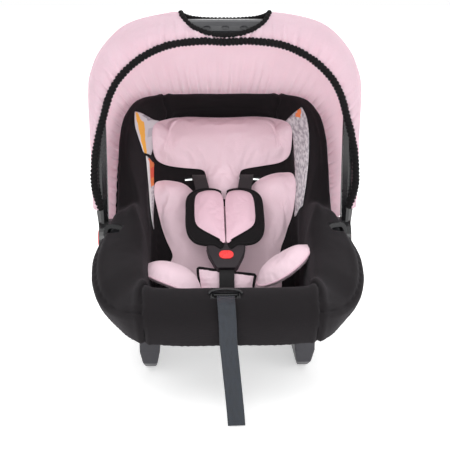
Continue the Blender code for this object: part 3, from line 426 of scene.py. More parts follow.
def evenly(line, step, closed=False):
    """The line again with points about step apart."""
    p = np.asarray(line, float)
    if closed:
        p = np.concatenate((p, p[:1]))
    along = run_of(p)
    count = max(int(round(along[-1] / step)), 2)
    at = np.linspace(0, along[-1], count + 1)
    made = np.stack([np.interp(at, along, p[:, k]) for k in range(p.shape[1])], 1)
    return made[:-1] if closed else made


def tube(name, line, radius, finish, sides=8, closed=False):
    """A round bar along a line; radius is a number or one for each point."""
    p = np.asarray(line, float)
    radius = np.broadcast_to(np.asarray(radius, float), len(p))
    tangent = np.roll(p, -1, 0) - np.roll(p, 1, 0) if closed else np.gradient(p, axis=0)
    tangent /= np.linalg.norm(tangent, axis=1, keepdims=True)
    side = np.cross(tangent[0], (0.0, 0.0, 1.0))
    if np.linalg.norm(side) < 0.1:
        side = np.cross(tangent[0], (1.0, 0.0, 0.0))
    rings, turns = [], 2 * math.pi * np.arange(sides) / sides
    for at, t, r in zip(p, tangent, radius):
        side = side - t * (side @ t)
        side /= np.linalg.norm(side)
        rings.append(at + r * (np.cos(turns)[:, None] * side + np.sin(turns)[:, None] * np.cross(t, side)))
    return add_mesh(name, np.concatenate(rings), ring_faces(len(p), sides, closed), finish)


def ring_faces(count, sides, closed):
    """The faces of a bar of rings, with a cap on each end unless it is closed."""
    faces = []
    for i in range(count if closed else count - 1):
        here, there = i * sides, (i + 1) % count * sides
        for j in range(sides):
            k = (j + 1) % sides
            faces.append((here + j, here + k, there + k, there + j))
    if not closed:
        faces += [tuple(range(sides))[::-1], tuple(range((count - 1) * sides, count * sides))]
    return faces


# Half of the webbing's section, as shares of its width and thickness; turned round it gives the other half.
TAPE = [
    (-0.5, 0.0), (-0.49, 0.42), (-0.46, 0.56), (-0.42, 0.5), (-0.2, 0.44),
    (0, 0.46), (0.2, 0.44), (0.42, 0.5), (0.46, 0.56), (0.49, 0.42),
]


def tape(name, line, wide, thick, finish, sway=0.0):
    """Webbing along a line: a flat band with raised edges, which turns slightly to and fro if it sways."""
    p = evenly(line, 3.0)
    along = run_of(p)
    profile = TAPE + [(-x, -y) for x, y in TAPE]
    points, uv = [], []
    for k, (at, t) in enumerate(zip(p, np.gradient(p, axis=0))):
        side = np.array((1.0, sway * math.sin(7 * (k / (len(p) - 1))), 0.0))
        side /= np.linalg.norm(side)
        up = np.cross(t, side)
        up /= np.linalg.norm(up)
        for x, y in profile:
            points.append(at + side * x * wide + up * y * thick)
            uv.append((along[k] * MM, x * wide * MM))
    return weld(add_mesh(name, points, ring_faces(len(p), len(profile), False), finish, uv), 0.001)


def stitches(name, line, finish):
    """A row of single stitches, each a short rounded thread lying along the line."""
    length, gap, radius, sides = 3.2, 1.8, 0.42, 6
    p = evenly(line, length + gap)
    points, faces = [], []
    for a, b in zip(p, p[1:]):
        along = (b - a) / np.linalg.norm(b - a)
        side = np.cross(along, (0.3, 0.5, 0.8))
        side /= np.linalg.norm(side)
        other = np.cross(along, side)
        base = len(points)
        for reach, r in ((0, 0.25), (0.12, 0.8), (0.5, 1.0), (0.88, 0.8), (1, 0.25)):
            for k in range(sides):
                turn = 2 * math.pi * k / sides
                out = side * math.cos(turn) + other * math.sin(turn)
                points.append(a + along * length * reach + radius * r * out)
        faces += [tuple(base + k for k in face) for face in ring_faces(5, sides, False)]
    return add_mesh(name, points, faces, finish)


def nearest(points, line):
    """How far each point is from a line's points."""
    found = np.full(len(points), np.inf)
    for start in range(0, len(line), 64):
        part = line[start : start + 64]
        gap = np.linalg.norm(points[:, None, :] - part[None], axis=2).min(1)
        found = np.minimum(found, gap)
    return found


def grain(points, size, seed=0.0):
    """Smooth noise from -1 to 1 at each point, with features of about that size."""
    return np.array([noise.noise(Vector(p) / size + Vector((seed, 0, 0))) for p in points])


def both_halves(us, vs, over, under):
    """Points and faces of a closed skin over both halves of the bucket, between two heights off its face."""
    points, faces = [], []
    wide, base = len(vs), 0
    for side in (1, -1):
        first = base
        for height in (over, under):
            grid = bowl(us[:, None], vs[None, :], height)
            grid[:, 0, 0] = grid[0, :, 0] = grid[-1, :, 0] = 0.0
            points.append((grid * (side, 1, 1)).reshape(-1, 3))
            faces += [tuple(base + k for k in face) for face in grid_faces(len(us), wide)]
            base += len(us) * wide
        for i in range(len(us) - 1):
            a = first + i * wide + wide - 1
            b = a + len(us) * wide
            faces.append((a, a + wide, b + wide, b))
    return np.concatenate(points), faces


def grid_faces(long, wide):
    """The faces of a grid of points, long rows of wide."""
    rows = [range(i * wide, (i + 1) * wide - 1) for i in range(long - 1)]
    return [(k, k + 1, k + wide + 1, k + wide) for row in rows for k in row]


def box_cutter(bm, size, centre, turn):
    """Adds a box to cut with, turned in degrees about X, Y and Z."""
    made = bmesh.ops.create_cube(bm, size=1.0)["verts"]
    bmesh.ops.scale(bm, vec=size, verts=made)
    for axis, angle in zip("XYZ", turn):
        matrix = Matrix.Rotation(math.radians(angle), 3, axis)
        bmesh.ops.rotate(bm, cent=(0, 0, 0), matrix=matrix, verts=made)
    bmesh.ops.translate(bm, vec=centre, verts=made)


def bar_cutter(bm, radius, length, centre):
    """Adds a round bar along X to cut with."""
    sizes = {"radius1": radius, "radius2": radius, "depth": length}
    made = bmesh.ops.create_cone(bm, cap_ends=True, segments=48, **sizes)["verts"]
    bmesh.ops.rotate(bm, cent=(0, 0, 0), matrix=Matrix.Rotation(math.radians(90), 3, "Y"), verts=made)
    bmesh.ops.translate(bm, vec=centre, verts=made)


def cut(obj, bm):
    """Cuts a bmesh, in millimetres, out of an object."""
    mesh = bpy.data.meshes.new("cutter")
    bm.to_mesh(mesh)
    bm.free()
    for v in mesh.vertices:
        v.co = (v.co + Vector(SHIFT)) * MM
    other = link("cutter", mesh)
    modifier = obj.modifiers.new("cut", "BOOLEAN")
    modifier.operation, modifier.solver, modifier.object = "DIFFERENCE", "EXACT", other
    apply_modifiers(obj)
    bpy.data.objects.remove(other)
    return obj


# ---- cover and shell


def cut_openings(obj):
    """The harness slots, the hubs' holes and the belt guides' openings; cutters of one group don't touch."""
    tilt = math.degrees(BACK_TILT)
    bm, guides = bmesh.new(), bmesh.new()
    for side, _ in SIDES:
        box_cutter(bm, (46, 8, 60), panel(10.06, 0, side * 47), (tilt, 4 * side, 0))
    box_cutter(bm, (36, 10, 60), (0, -108, 92), (-20, 0, 0))
    box_cutter(bm, (44, 12, 60), ADJUSTER_AT, (math.degrees(ADJUSTER_TILT), 0, 0))
    for side, _ in SIDES:
        bar_cutter(bm, 34.5, 60.0, (side * 200, 0, PIVOT_Z))
        turn = (GUIDE_TURN[0], 0, GUIDE_TURN[2] * side)
        box_cutter(guides, (40, 28, 44), (side * GUIDE_AT[0], *GUIDE_AT[1:]), turn)
    cut(cut(obj, bm), guides)


def cut_notches(obj):
    """The cover stops short of the hubs, and leaves room for them below."""
    bm = bmesh.new()
    for side, _ in SIDES:
        box_cutter(bm, (60, 69, 60), (side * 200, 0, PIVOT_Z - 30), (0, 0, 0))
    cut(obj, bm)


# The cover's seams as (rib, span) places on the bucket.
SEAMS = {
    "crease": [
        (3.1, 1.75), (3.3, 1.25), (4.0, 1.08), (5, 1.05), (6, 1.05), (7, 1.05), (8, 1.04), (9, 1.03),
        (10, 1.03),
        (11, 1.04), (11.85, 1.42), (12.2, 2.0), (12.5, 3.0), (12.62, 4.0), (12.66, 5.0), (12.7, 6.0),
    ],
    "front": [
        (3.1, 1.75), (2.8, 2.3), (2.45, 3.0), (2.12, 3.8), (1.95, 4.4), (1.86, 5.0), (1.82, 5.5), (1.8, 6.0),
    ],
    "outer": [(1.95, 4.62), (2.6, 4.72), (3.5, 4.78), (4.5, 4.8), (5.5, 4.82), (6.4, 4.84)],
}


def build_cover():
    us, vs = np.linspace(0, 14, 225), np.linspace(0, 6, 97)
    flat_u, flat_v = (g.ravel() for g in np.meshgrid(us, vs, indexing="ij"))
    base = bowl(flat_u, flat_v)
    lift = 0.9 * grain(base, 55) + 0.35 * grain(base, 18, 5)
    for name, path in SEAMS.items():
        line = spline(path, 12)
        away = nearest(base, bowl(line[:, 0], line[:, 1]))
        depth = 2.0 if name == "outer" else 3.0
        lift += 1.9 * np.exp(-(((away - 8) / 5.5) ** 2)) - depth * np.exp(-((away / 2.2) ** 2))
    gathered = np.clip((flat_v - 5.2) / 0.8, 0, 1)
    lift += gathered**2 * 0.4 * np.sin(flat_u * 38 + 2.0 * grain(base, 30, 9))
    lift *= np.minimum(flat_v * 6 + 0.4, 1)
    lift = lift.reshape(len(us), len(vs))
    cover = weld(add_mesh("seat_cover_padded", *both_halves(us, vs, lift, lift * 0.15 - COVER_THICK), BLACK))
    cut_openings(cover)
    cut_notches(cover)
    seated(cover, "black_fabric", "seat_cover")
    for name, path in SEAMS.items():
        line = spline(path, 16)
        for side, word in SIDES:
            at = bowl(line[:, 0], side * line[:, 1], -2.0)
            seated(tube(f"cover_seam_{name}_{word}", evenly(at, 3), 0.9, THREAD, 6), "black_fabric")
    line = spline(SEAMS["front"], 16)
    for side, word in SIDES:
        for edge, offset in (("out", 0.075), ("in", -0.075)):
            at = bowl(line[:, 0] + offset, side * line[:, 1], 0.85)
            seated(stitches(f"cover_stitching_{word}_{edge}", at, THREAD), "black_fabric")


def build_shell():
    us, vs = np.linspace(0, 14, 169), np.concatenate((np.linspace(0, 6, 61), np.linspace(6.1, 7, 12)))
    flat_u, flat_v = (g.ravel() for g in np.meshgrid(us, vs, indexing="ij"))
    base = bowl(flat_u, flat_v)
    # Stiffening ribs down the back and a step round the rim, moulded into the outside.
    x, y = base[:, 0], base[:, 1]
    behind = np.clip((y - 20) / 40, 0, 1) * np.clip((1.02 - flat_v) * 6, 0, 1)
    ribs = np.exp(-(((x - 30) / 3.2) ** 2)) + np.exp(-(((x - 72) / 3.2) ** 2))
    across = sum(np.exp(-(((flat_u - k) / 0.05) ** 2)) for k in (8.8, 10.9, 11.6)) * (x < 72)
    out = behind * np.maximum(ribs, across) * 3.0
    rim = np.clip((flat_v - 6.72) / 0.1, 0, 1) * 2.4
    over = np.full((len(us), len(vs)), -SHELL_INSET)
    over[:, -1] -= 0.3
    under = -SHELL_INSET - SHELL_THICK - (out + rim).reshape(over.shape)
    under[:, -1] += 0.6
    shell = weld(add_mesh("seat_shell_moulding", *both_halves(us, vs, over, under), SHELL))
    cut_openings(shell)
    seated(shell, "shell_plastic", "seat_shell")


def seated(obj, slot, *nodes):
    """Fixes a piece to the seat; nodes are the CAD nodes it replaces."""
    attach(obj, "seat")
    if nodes:
        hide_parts(*nodes)


# ---- padded pieces

SPAN = 114.0  # about how long the first span across the bucket is
OUTER_SPAN = 58.0
RIB = 70.0  # about how far apart its ribs are


def flat_of(us):
    """(s, u) places on the bucket as flat millimetres."""
    s, u = np.asarray(us, float).T
    wide = np.where(abs(s) < 1, s * SPAN, np.sign(s) * (SPAN + (abs(s) - 1) * OUTER_SPAN))
    return np.stack((wide, u * RIB), 1)


def over_bowl(flat, height):
    """Points of the bucket's face at flat millimetres, and height off it."""
    wide, long = flat[:, 0], flat[:, 1]
    s = np.where(abs(wide) < SPAN, wide / SPAN, np.sign(wide) * (1 + (abs(wide) - SPAN) / OUTER_SPAN))
    return bowl(long / RIB, s, height)


def inside(points, loop):
    """Which of the flat points lie within the loop."""
    found = np.zeros(len(points), bool)
    x, y = points[:, 0], points[:, 1]
    for (x0, y0), (x1, y1) in zip(loop, np.roll(loop, -1, 0)):
        crosses = (y0 > y) != (y1 > y)
        if y1 != y0:
            found ^= crosses & (x < (x1 - x0) * (y - y0) / (y1 - y0) + x0)
    return found


def stuffed(
    name, outline, surface, finish, rise, gap=1.6, rim=2.5, reach=24.0, under=None, spacing=4.0, power=2.0
):
    """A pad with a crowned face: outline in flat millimetres, surface(flat, height) a flat point's place, rise its
    height over the rim. Returns the object, the line round its rim, and which of its points are held."""
    loop = evenly(spline(outline, 10, closed=True), spacing, closed=True)
    low, high = loop.min(0), loop.max(0)
    heights = enumerate(np.arange(low[1], high[1], spacing * 0.87))
    rows = [(low[0] + row % 2 * spacing / 2, y) for row, y in heights]
    grid = np.array([(x, y) for start, y in rows for x in np.arange(start, high[0], spacing)])
    grid = grid[inside(grid, loop)]
    grid = grid[nearest(grid, loop) > spacing * 0.6]
    flat = np.concatenate((loop, grid))
    made = delaunay_2d_cdt([Vector(p) for p in flat], [], [list(range(len(loop)))], 1, 1e-5)
    flat, triangles = np.array([tuple(v) for v in made[0]]), [tuple(f) for f in made[2]]
    on_rim = nearest(flat, loop) < 0.01
    base = surface(flat, gap)
    away = nearest(base, base[on_rim])
    t = np.clip(away / reach, 0, 1)
    crown = (1 - (1 - t) ** power) ** 0.5
    height = (rise(flat) if callable(rise) else rise) * crown
    edges = [(a, b) for f in triangles for a, b in zip(f, f[1:] + f[:1])]
    here, there = np.array(edges).T
    number = np.maximum(np.bincount(here, minlength=len(flat)), 1)
    for _ in range(28):
        around = np.bincount(here, height[there], len(flat)) / number
        height = np.where(on_rim, height, (height + around) / 2)
    top = surface(flat, gap + rim + height)
    bottom = surface(flat, gap + (0 if under is None else -under * crown))
    count = len(flat)
    faces = list(triangles) + [tuple(count + k for k in reversed(f)) for f in triangles]
    known = set(edges)
    faces += [(b, a, count + a, count + b) for a, b in edges if (b, a) not in known]
    obj = add_mesh(name, np.concatenate((top, bottom)), faces, finish)
    weld(obj, 0.0001)
    ring = surface(loop, gap + rim * 0.6)
    return obj, ring, np.concatenate((on_rim, np.ones(count, bool) if under is None else on_rim))


def inflate(obj, held, cap, slack):
    """Blows the pad up against its seams with a short cloth simulation, then keeps the result as the mesh."""
    scene, frames = bpy.context.scene, 20
    group = obj.vertex_groups.new(name="held")
    group.add([int(i) for i in np.nonzero(held)[0]], 1.0, "REPLACE")
    cloth = obj.modifiers.new("inflated", "CLOTH")
    settings = cloth.settings
    settings.use_pressure, settings.uniform_pressure_force = True, 4.0
    settings.effector_weights.gravity = 0.0
    settings.vertex_group_mass, settings.shrink_min = "held", slack
    settings.quality, settings.mass = 5, 0.3
    cloth.collision_settings.use_collision = False
    cloth.point_cache.frame_start, cloth.point_cache.frame_end = 1, frames
    for frame_number in range(1, frames + 1):
        scene.frame_set(frame_number)
    evaluated = obj.evaluated_get(bpy.context.evaluated_depsgraph_get())
    rest = np.array([v.co for v in obj.data.vertices])
    moved = np.array([v.co for v in evaluated.data.vertices])
    move = moved - rest
    move[~np.isfinite(move)] = 0.0
    size = np.linalg.norm(move, axis=1, keepdims=True)
    move *= np.minimum(1.0, cap * MM / np.maximum(size, 1e-9))
    obj.modifiers.clear()
    obj.vertex_groups.clear()
    obj.data.vertices.foreach_set("co", (rest + move).astype(np.float32).ravel())
    scene.frame_set(1)
    smooth = obj.modifiers.new("smooth", "SUBSURF")
    smooth.levels = smooth.render_levels = 1
    apply_modifiers(obj)


def pad(name, outline, surface, finish, rise, cap, fill, nodes=(), slack=-0.02, **shape):
    """A stuffed piece, blown up by cap millimetres at most and fixed to the seat. Returns its rim's line."""
    obj, ring, held = stuffed(name, outline, surface, finish, rise, **shape)
    inflate(obj, held, cap, slack)
    seated(obj, "pink_fabric", *nodes)
    return ring


def seam(name, ring, radius, finish, slot="pink_fabric", step=3):
    seated(tube(name, evenly(ring, step, True), radius, finish, closed=True), slot)


# The right half of the head cushion's outline as (rib, span) places, from its foot up.
HEAD_WIDTHS = [
    (9.58, 0.2), (9.85, 0.235), (10.12, 0.25), (10.26, 0.32), (10.33, 0.62), (10.37, 1.0), (10.5, 1.55),
    (10.75, 1.9), (11.1, 2.02), (11.5, 1.86), (11.9, 1.52), (12.25, 1.12), (12.5, 0.72),
]


def build_head_cushion():
    right = [(w, u) for u, w in HEAD_WIDTHS]
    left = [(-w, u - (0.04 if w > 0.5 and u < 10.6 else 0)) for u, w in reversed(HEAD_WIDTHS)]
    outline = flat_of(right + [(0.3, 12.62), (-0.3, 12.62)] + left + [(0.0, 9.52)])

    def rise(flat):
        u = flat[:, 1] / RIB
        thick = np.interp(u, (9.5, 9.8, 10.1, 10.4, 11.1, 11.8, 12.2), (5, 9, 11, 17, 22, 18, 12))
        return thick * (1 + 0.05 * grain(np.c_[flat, flat[:, :1] * 0], 28, 3))

    def surface(flat, height):
        """Its top edge stands straight up off the curved head end in the middle."""
        t = np.clip((flat[:, 1] / RIB - 11.3) / 1.3, 0, 1)
        up = 17.0 * np.exp(-((flat[:, 0] / 82) ** 2)) * t * t * (3 - 2 * t)
        return over_bowl(flat, height) + up[:, None] * (0, 0.45, 0.89)

    shape = {"reach": 26, "rim": 2.6, "slack": -0.03}
    ring = pad("head_cushion_padded", outline, surface, PINK, rise, 6, 0.6, ["head_cushion"], **shape)
    seam("head_cushion_seam", ring, 1.1, PINK)


def build_body_insert():
    right = [
        (0.16, 9.36), (0.34, 9.62), (0.52, 9.93), (0.78, 10.06), (1.12, 10.0), (1.5, 9.75), (1.6, 9.45),
        (1.4, 9.2), (1.12, 8.92), (0.93, 8.6), (0.82, 8.3), (0.78, 7.9),
    ]
    left = [
        (-0.78, 7.9), (-0.74, 8.2), (-0.86, 8.55), (-0.98, 8.9), (-1.12, 9.25), (-1.26, 9.5),
        (-1.2, 9.74), (-0.92, 9.88), (-0.6, 9.86), (-0.4, 9.62), (-0.18, 9.36),
    ]
    bottom = [(0.8, 7.2), (0.66, 6.4), (0.52, 5.6), (0.0, 5.4), (-0.52, 5.6), (-0.66, 6.4), (-0.8, 7.2)]
    outline = flat_of(right + bottom + left)

    def rise(flat):
        u, s = flat[:, 1] / RIB, abs(flat[:, 0]) / SPAN
        side = np.interp(u, (5.4, 7.0, 8.0, 9.0, 9.9), (5, 8, 12, 18, 18))
        bolster = np.clip((s - 0.34) / 0.42, 0, 1)
        return 3.5 + (side - 3.5) * bolster * bolster * (3 - 2 * bolster)

    shape = {"reach": 20, "rim": 2.4, "slack": -0.012}
    ring = pad("body_insert_back", outline, over_bowl, PINK, rise, 4, 0.5, ["body_insert"], **shape)
    seam("body_insert_seam", ring, 1.1, PINK)


def plane_of(centre, along, back, bend=0.0):
    """A plane as a surface for stuffed: centre, its two axes along and back, and how far its ends curl up."""
    centre, along, back = (np.array(v, float) for v in (centre, along, back))
    along /= np.linalg.norm(along)
    normal = np.cross(along, back)
    normal /= np.linalg.norm(normal)
    back = np.cross(normal, along)

    def surface(flat, height):
        curl = bend * (flat[:, 0] / 60) ** 2
        out = (np.asarray(height) + curl)[:, None] * normal
        return centre + flat[:, :1] * along + flat[:, 1:] * back + out

    return surface


def build_thigh_bolsters():
    """Loose bolsters under the thighs, each with a piped seam round its middle."""
    outline = [
        (-52, 18), (-56, -5), (-47, -29), (-20, -44), (9, -44), (33, -34), (49, -15), (53, 2), (46, 21),
        (25, 39), (-8, 48), (-35, 41),
    ]
    shape = {"gap": -0.8, "rim": 1.6, "reach": 40, "under": 8, "power": 2.2}
    for side, word, centre, angle in ((-1, "left", (-92, -94, 158), 21), (1, "right", (99, -94, 176), 35)):
        a = math.radians(angle)
        along = (side * math.cos(a), 0.0, math.sin(a))
        plane = plane_of(centre, along, (0.0, 1.0, -0.03), 5.0)

        def surface(flat, height):
            return plane(flat, side * np.asarray(height))

        ring = pad(f"thigh_bolster_{word}", outline, surface, PALE_PINK, 21, 5, 0.75, **shape)
        seam(f"thigh_bolster_piping_{word}", ring, 1.7, PIPING)


# ---- harness


def loop_end(at, tilt, reach=12, tail=20):
    """Where webbing runs to a slot, turns round its edge and comes back behind itself."""
    turn = ((reach, 2.7), (3.5, 2.5), (-0.4, 0), (3.5, -2.5), (tail, -3))
    return [in_frame(at, tilt, 0, up, out) for up, out in turn]


# The backing and the face of the right shoulder pad, sideways and upwards from its middle.
PAD_SHAPE = [
    (-30, -79), (-14, -74), (3, -73), (17, -68), (27, -54), (31.5, -30), (32, 8), (31, 40), (22, 60),
    (4, 70), (-16, 69), (-28, 61), (-30, 46), (-30, -10),
]
PAD_FACE = [
    (-32, -73), (-21, -65), (-9, -56), (4, -46), (14, -36), (19, -22), (20, 2), (19, 36), (13, 54),
    (-2, 62), (-19, 61.5), (-28, 53), (-32, 34), (-32.4, 0), (-32.4, -40),
]


def build_harness():
    yoke_at = panel(9.35, -17.5)
    for side, word in SIDES:
        yoke_slot = in_frame(yoke_at, BACK_TILT, side * 31, 2)
        tongue_slot = in_frame(BUCKLE_AT, BUCKLE_TILT, side * 35, 42, 1.3)
        line = [
            *reversed(loop_end(yoke_slot, BACK_TILT, 14)),
            panel(9.8, -15, side * 42), panel(10.02, -12.5, side * 44), panel(10.06, -4, side * 44),
            panel(10.08, 5, side * 44), panel(9.95, 17, side * 43),
            *(in_frame(PAD_AT, PAD_TILT, side * 37, up, -8) for up in (66, 20, -20)),
            *loop_end(tongue_slot, BUCKLE_TILT),
        ]
        strap = tape(f"shoulder_webbing_{word}", spline(line, 5), 25, 1.5, WEB)
        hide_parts(f"shoulder_strap_{word}")
        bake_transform(strap)
        centre = np.array(PAD_AT) + (side * 33.6, 0, 0)
        up = (0.0, math.cos(PAD_TILT), math.sin(PAD_TILT))
        face = plane_of(centre, (1, 0, 0), up)

        def dome(flat, height):
            return face(flat, np.asarray(height) - 3.0 * (flat[:, 1] / 70) ** 2)

        # The left pad mirrors the right one, so its outlines run the other way round.
        shape, pink = (np.array(part, float)[::side] * (side, 1) for part in (PAD_SHAPE, PAD_FACE))
        ring = pad(
            f"shoulder_pad_face_{word}", pink, dome, PAD_PINK, 8.0, 3, 0.5, [f"shoulder_pad_{word}"],
            slack=-0.008, gap=1.4, rim=1.6, reach=18, spacing=3.0,
        )
        backing, rim, _ = stuffed(
            f"shoulder_pad_backing_{word}", shape, dome, BINDING, 2.6, gap=-3.2, rim=3.4, reach=9, spacing=3.5
        )
        seated(backing, "black_fabric")
        for part, loop, radius, inner in (("binding", rim, 2.9, 6.0), ("edging", ring, 1.9, 9.0)):
            outer = evenly(loop, 2.5, True)
            outer = outer[outer[:, 0] * side > inner]
            seated(tube(f"shoulder_pad_{part}_{word}", outer, radius, BINDING), "black_fabric")
    line = [(0, y, z) for y, z in ((-118, 74), (-111, 88), (-107, 104), (-103, 132), (-97, 156))]
    line += [in_frame(BUCKLE_AT, BUCKLE_TILT, 0, up, 2.0) for up in (-27, -17)]
    seated(tape("crotch_webbing", spline(line, 5), 25, 1.5, WEB), "webbing", "crotch_strap")


def build_buckle_spring():
    """The coil under the red button, modelled at one length, though the real one shortens as the button is pressed.
    """
    coil = []
    turns, steps, radius, rise = 3, 24, 4.4, 4.6
    for k in range(turns * steps + 1):
        a = 2 * math.pi * k / steps
        x, up, out = radius * math.cos(a), 1 + radius * math.sin(a), 0.9 + rise * k / (turns * steps)
        coil.append(in_frame(BUCKLE_AT, BUCKLE_TILT, x, up, out))
    spring = tube("buckle_spring_coil", coil, 0.4, STEEL)
    seated(spring, "steel", "buckle_spring")
    out = (0.0, -math.sin(BUCKLE_TILT), math.cos(BUCKLE_TILT))
    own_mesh(spring)


def build_crotch_pad():
    tilt = math.radians(80)
    face = plane_of((0, -90, 130), (1, 0, 0), (0.0, math.cos(tilt), math.sin(tilt)))
    outline = [
        (-47, 40), (-47.5, 36), (-44, 10), (-38, -24), (0, -27), (38, -24), (44, 10), (47, 25), (46, 29),
        (20, 32), (-10, 36), (-43, 41),
    ]
    outline = np.array(outline, float)[::-1]
    shape = {"gap": -2.4, "rim": 3.2, "reach": 12, "spacing": 3.0}
    ring = pad("crotch_pad_face", outline, face, PALE_PINK, 4.5, 2, 0.4, ["crotch_pad"], **shape)
    seam("crotch_pad_binding", ring, 2.6, BINDING, "black_fabric", 2.5)


def build_adjuster():
    """The webbing from the yoke to the clamp, its free tail over the lip, and a bezel round its slot."""
    yoke_slot = in_frame(panel(9.35, -17.5), BACK_TILT, 0, -7)
    line = [in_frame(yoke_slot, BACK_TILT, 0, up, out) for up, out in ((5, 2.6), (1.2, 2.0), (-1, -2.4))]
    ribs, heights = (9, 8.3, 7.5, 6.6, 5.6, 4.6, 3, 1.4, 0.3), (-17, -19, -25, -26, -29, -28, -20, -17, -17)
    line += [panel(u, out, -k) for k, (u, out) in enumerate(zip(ribs, heights))]
    line += [in_frame(ADJUSTER_AT, ADJUSTER_TILT, 0, -2.2, out) for out in (-22, -8, 2.5)]
    seated(tape("adjuster_webbing_run", spline(line, 4), 26, 1.5, WEB), "webbing", "adjuster_strap")
    start = in_frame(ADJUSTER_AT, ADJUSTER_TILT, 0, -2.2, 2.5)
    tail = [
        start, (-8, -301, 190), (-7, -314.5, 177), (-6, -318.5, 158), (-5, -319.2, 132),
        (-2.5, -319.6, 106), (0, -320, 80), (3, -320.6, 50), (5.4, -321.4, 24), (7, -322, 3),
    ]
    free = evenly(spline(tail, 8), 3)
    strap = tape("adjuster_tail", free, 26, 1.6, TAIL_WEB, sway=0.06)
    seated(strap, "webbing", "adjuster_strap")
    arc = []
    for k in range(25):
        a = math.pi * k / 24
        x, up, out = 24 * math.cos(a), 1.5 + 7.5 * math.sin(a) ** 0.8, 2.2 + 1.8 * math.sin(a)
        arc.append(in_frame(ADJUSTER_AT, ADJUSTER_TILT, x, up, out))
    seated(tube("adjuster_bezel", evenly(arc, 2), 1.9, DARK, 10), "shell_plastic")
    places = ((x, -6.2, 1.6 - 0.8 * abs(x) / 24) for x in range(-24, 25, 3))
    lower = [in_frame(ADJUSTER_AT, ADJUSTER_TILT, *place) for place in places]
    seated(tube("adjuster_slot_edge", lower, 1.2, BINDING), "black_fabric")


# ---- tags


def build_tags():
    white, amber, red = (0.80, 0.79, 0.80), (0.93, 0.46, 0.07), (0.85, 0.12, 0.07)
    orange = (0.90, 0.25, 0.08)
    upper = printed("tag_upper", [
        (0.0, 1.0, 0.0, 1.0, (0.66, 0.64, 0.67)), (0.13, 0.36, 0.02, 0.98, amber),
        (0.62, 0.80, 0.1, 0.25, (0.35, 0.34, 0.38)), (0.5, 0.9, 0.42, 0.60, (0.52, 0.5, 0.54)),
    ])
    lower = printed("tag_lower", [
        (0.0, 0.42, 0.0, 1.0, white), (0.42, 1.0, 0.05, 0.45, orange), (0.5, 1.0, 0.2, 0.34, red),
    ])
    plain = printed("tag_plain", [(0.35, 0.6, 0.02, 0.10, orange)])
    left_upper = [
        (-3.5, 10.95), (-2.2, 11.35), (-1.75, 11.6), (-1.55, 10.6), (-1.75, 10.2), (-2.25, 9.95),
        (-2.95, 10.4),
    ]
    left_lower = [
        (-2.1, 9.95), (-1.35, 10.2), (-1.25, 9.4), (-1.28, 8.95), (-1.24, 8.62), (-1.6, 9.0), (-1.9, 9.5),
    ]
    right = [
        (1.85, 11.45), (2.5, 11.45), (3.15, 11.38), (2.75, 10.2), (2.45, 9.3), (2.2, 8.5), (1.3, 8.9),
        (1.5, 9.4), (1.75, 10.2), (1.95, 10.8),
    ]
    for name, finish, outline, *nodes in (
        ("tag_left_upper", upper, left_upper, "label_left"),
        ("tag_left_lower", lower, left_lower),
        ("tag_right", plain, right, "label_right"),
    ):
        outline = flat_of(outline)
        edges = zip(outline, np.roll(outline, -1, 0))
        corners = np.concatenate([np.linspace(a, b, 6)[:-1] for a, b in edges])
        tag, _, _ = stuffed(name, corners, over_bowl, finish, 0.15, gap=1.3, rim=0.6, reach=3, spacing=5.0)
        place_uv(tag.data, place_on(tag.data))
        seated(tag, "printed_tag", *nodes)


def place_on(mesh):
    """How far across each point of a tag lies from its outer edge, and how far down, both from 0 to 1."""
    co = np.array([v.co for v in mesh.vertices])
    x, z = abs(co[:, 0]), co[:, 2]
    down = (z.max() - z) / (z.max() - z.min())
    across = np.zeros(len(co))
    rows = 23
    for k in range(rows + 1):
        row = (down >= (k - 0.5) / rows) & (down < (k + 0.5) / rows)
        near = x[abs(down - k / rows) < 0.06]
        if len(near):
            across[row] = (near.max() - x[row]) / max(near.max() - near.min(), 1e-6)
    return np.stack((across, down), 1)


# ---- canopy

FRONT_EDGE = [
    (0, -25, 536), (45, -25, 537), (95, -25, 530), (138, -25, 510), (171, -25, 481), (190, -25, 450),
    (201, -25, 415), (210, -27, 383), (217, -29, 345), (219, -30, 300), (211, -17, 254),
]
REAR_RIBS = (13.99, 13.5, 13.0, 12.4, 11.9, 11.4, 10.9, 10.3, 9.6, 8.9, 8.3)
ARCH_HALF, ARCH_TOP, ARCH_CORNER = 225.5, 575.0, 130.0
OPENING = np.array((75.0, 41.0, 37.0))
LAST_RIB, LAST_SPAN = 10, 5.0


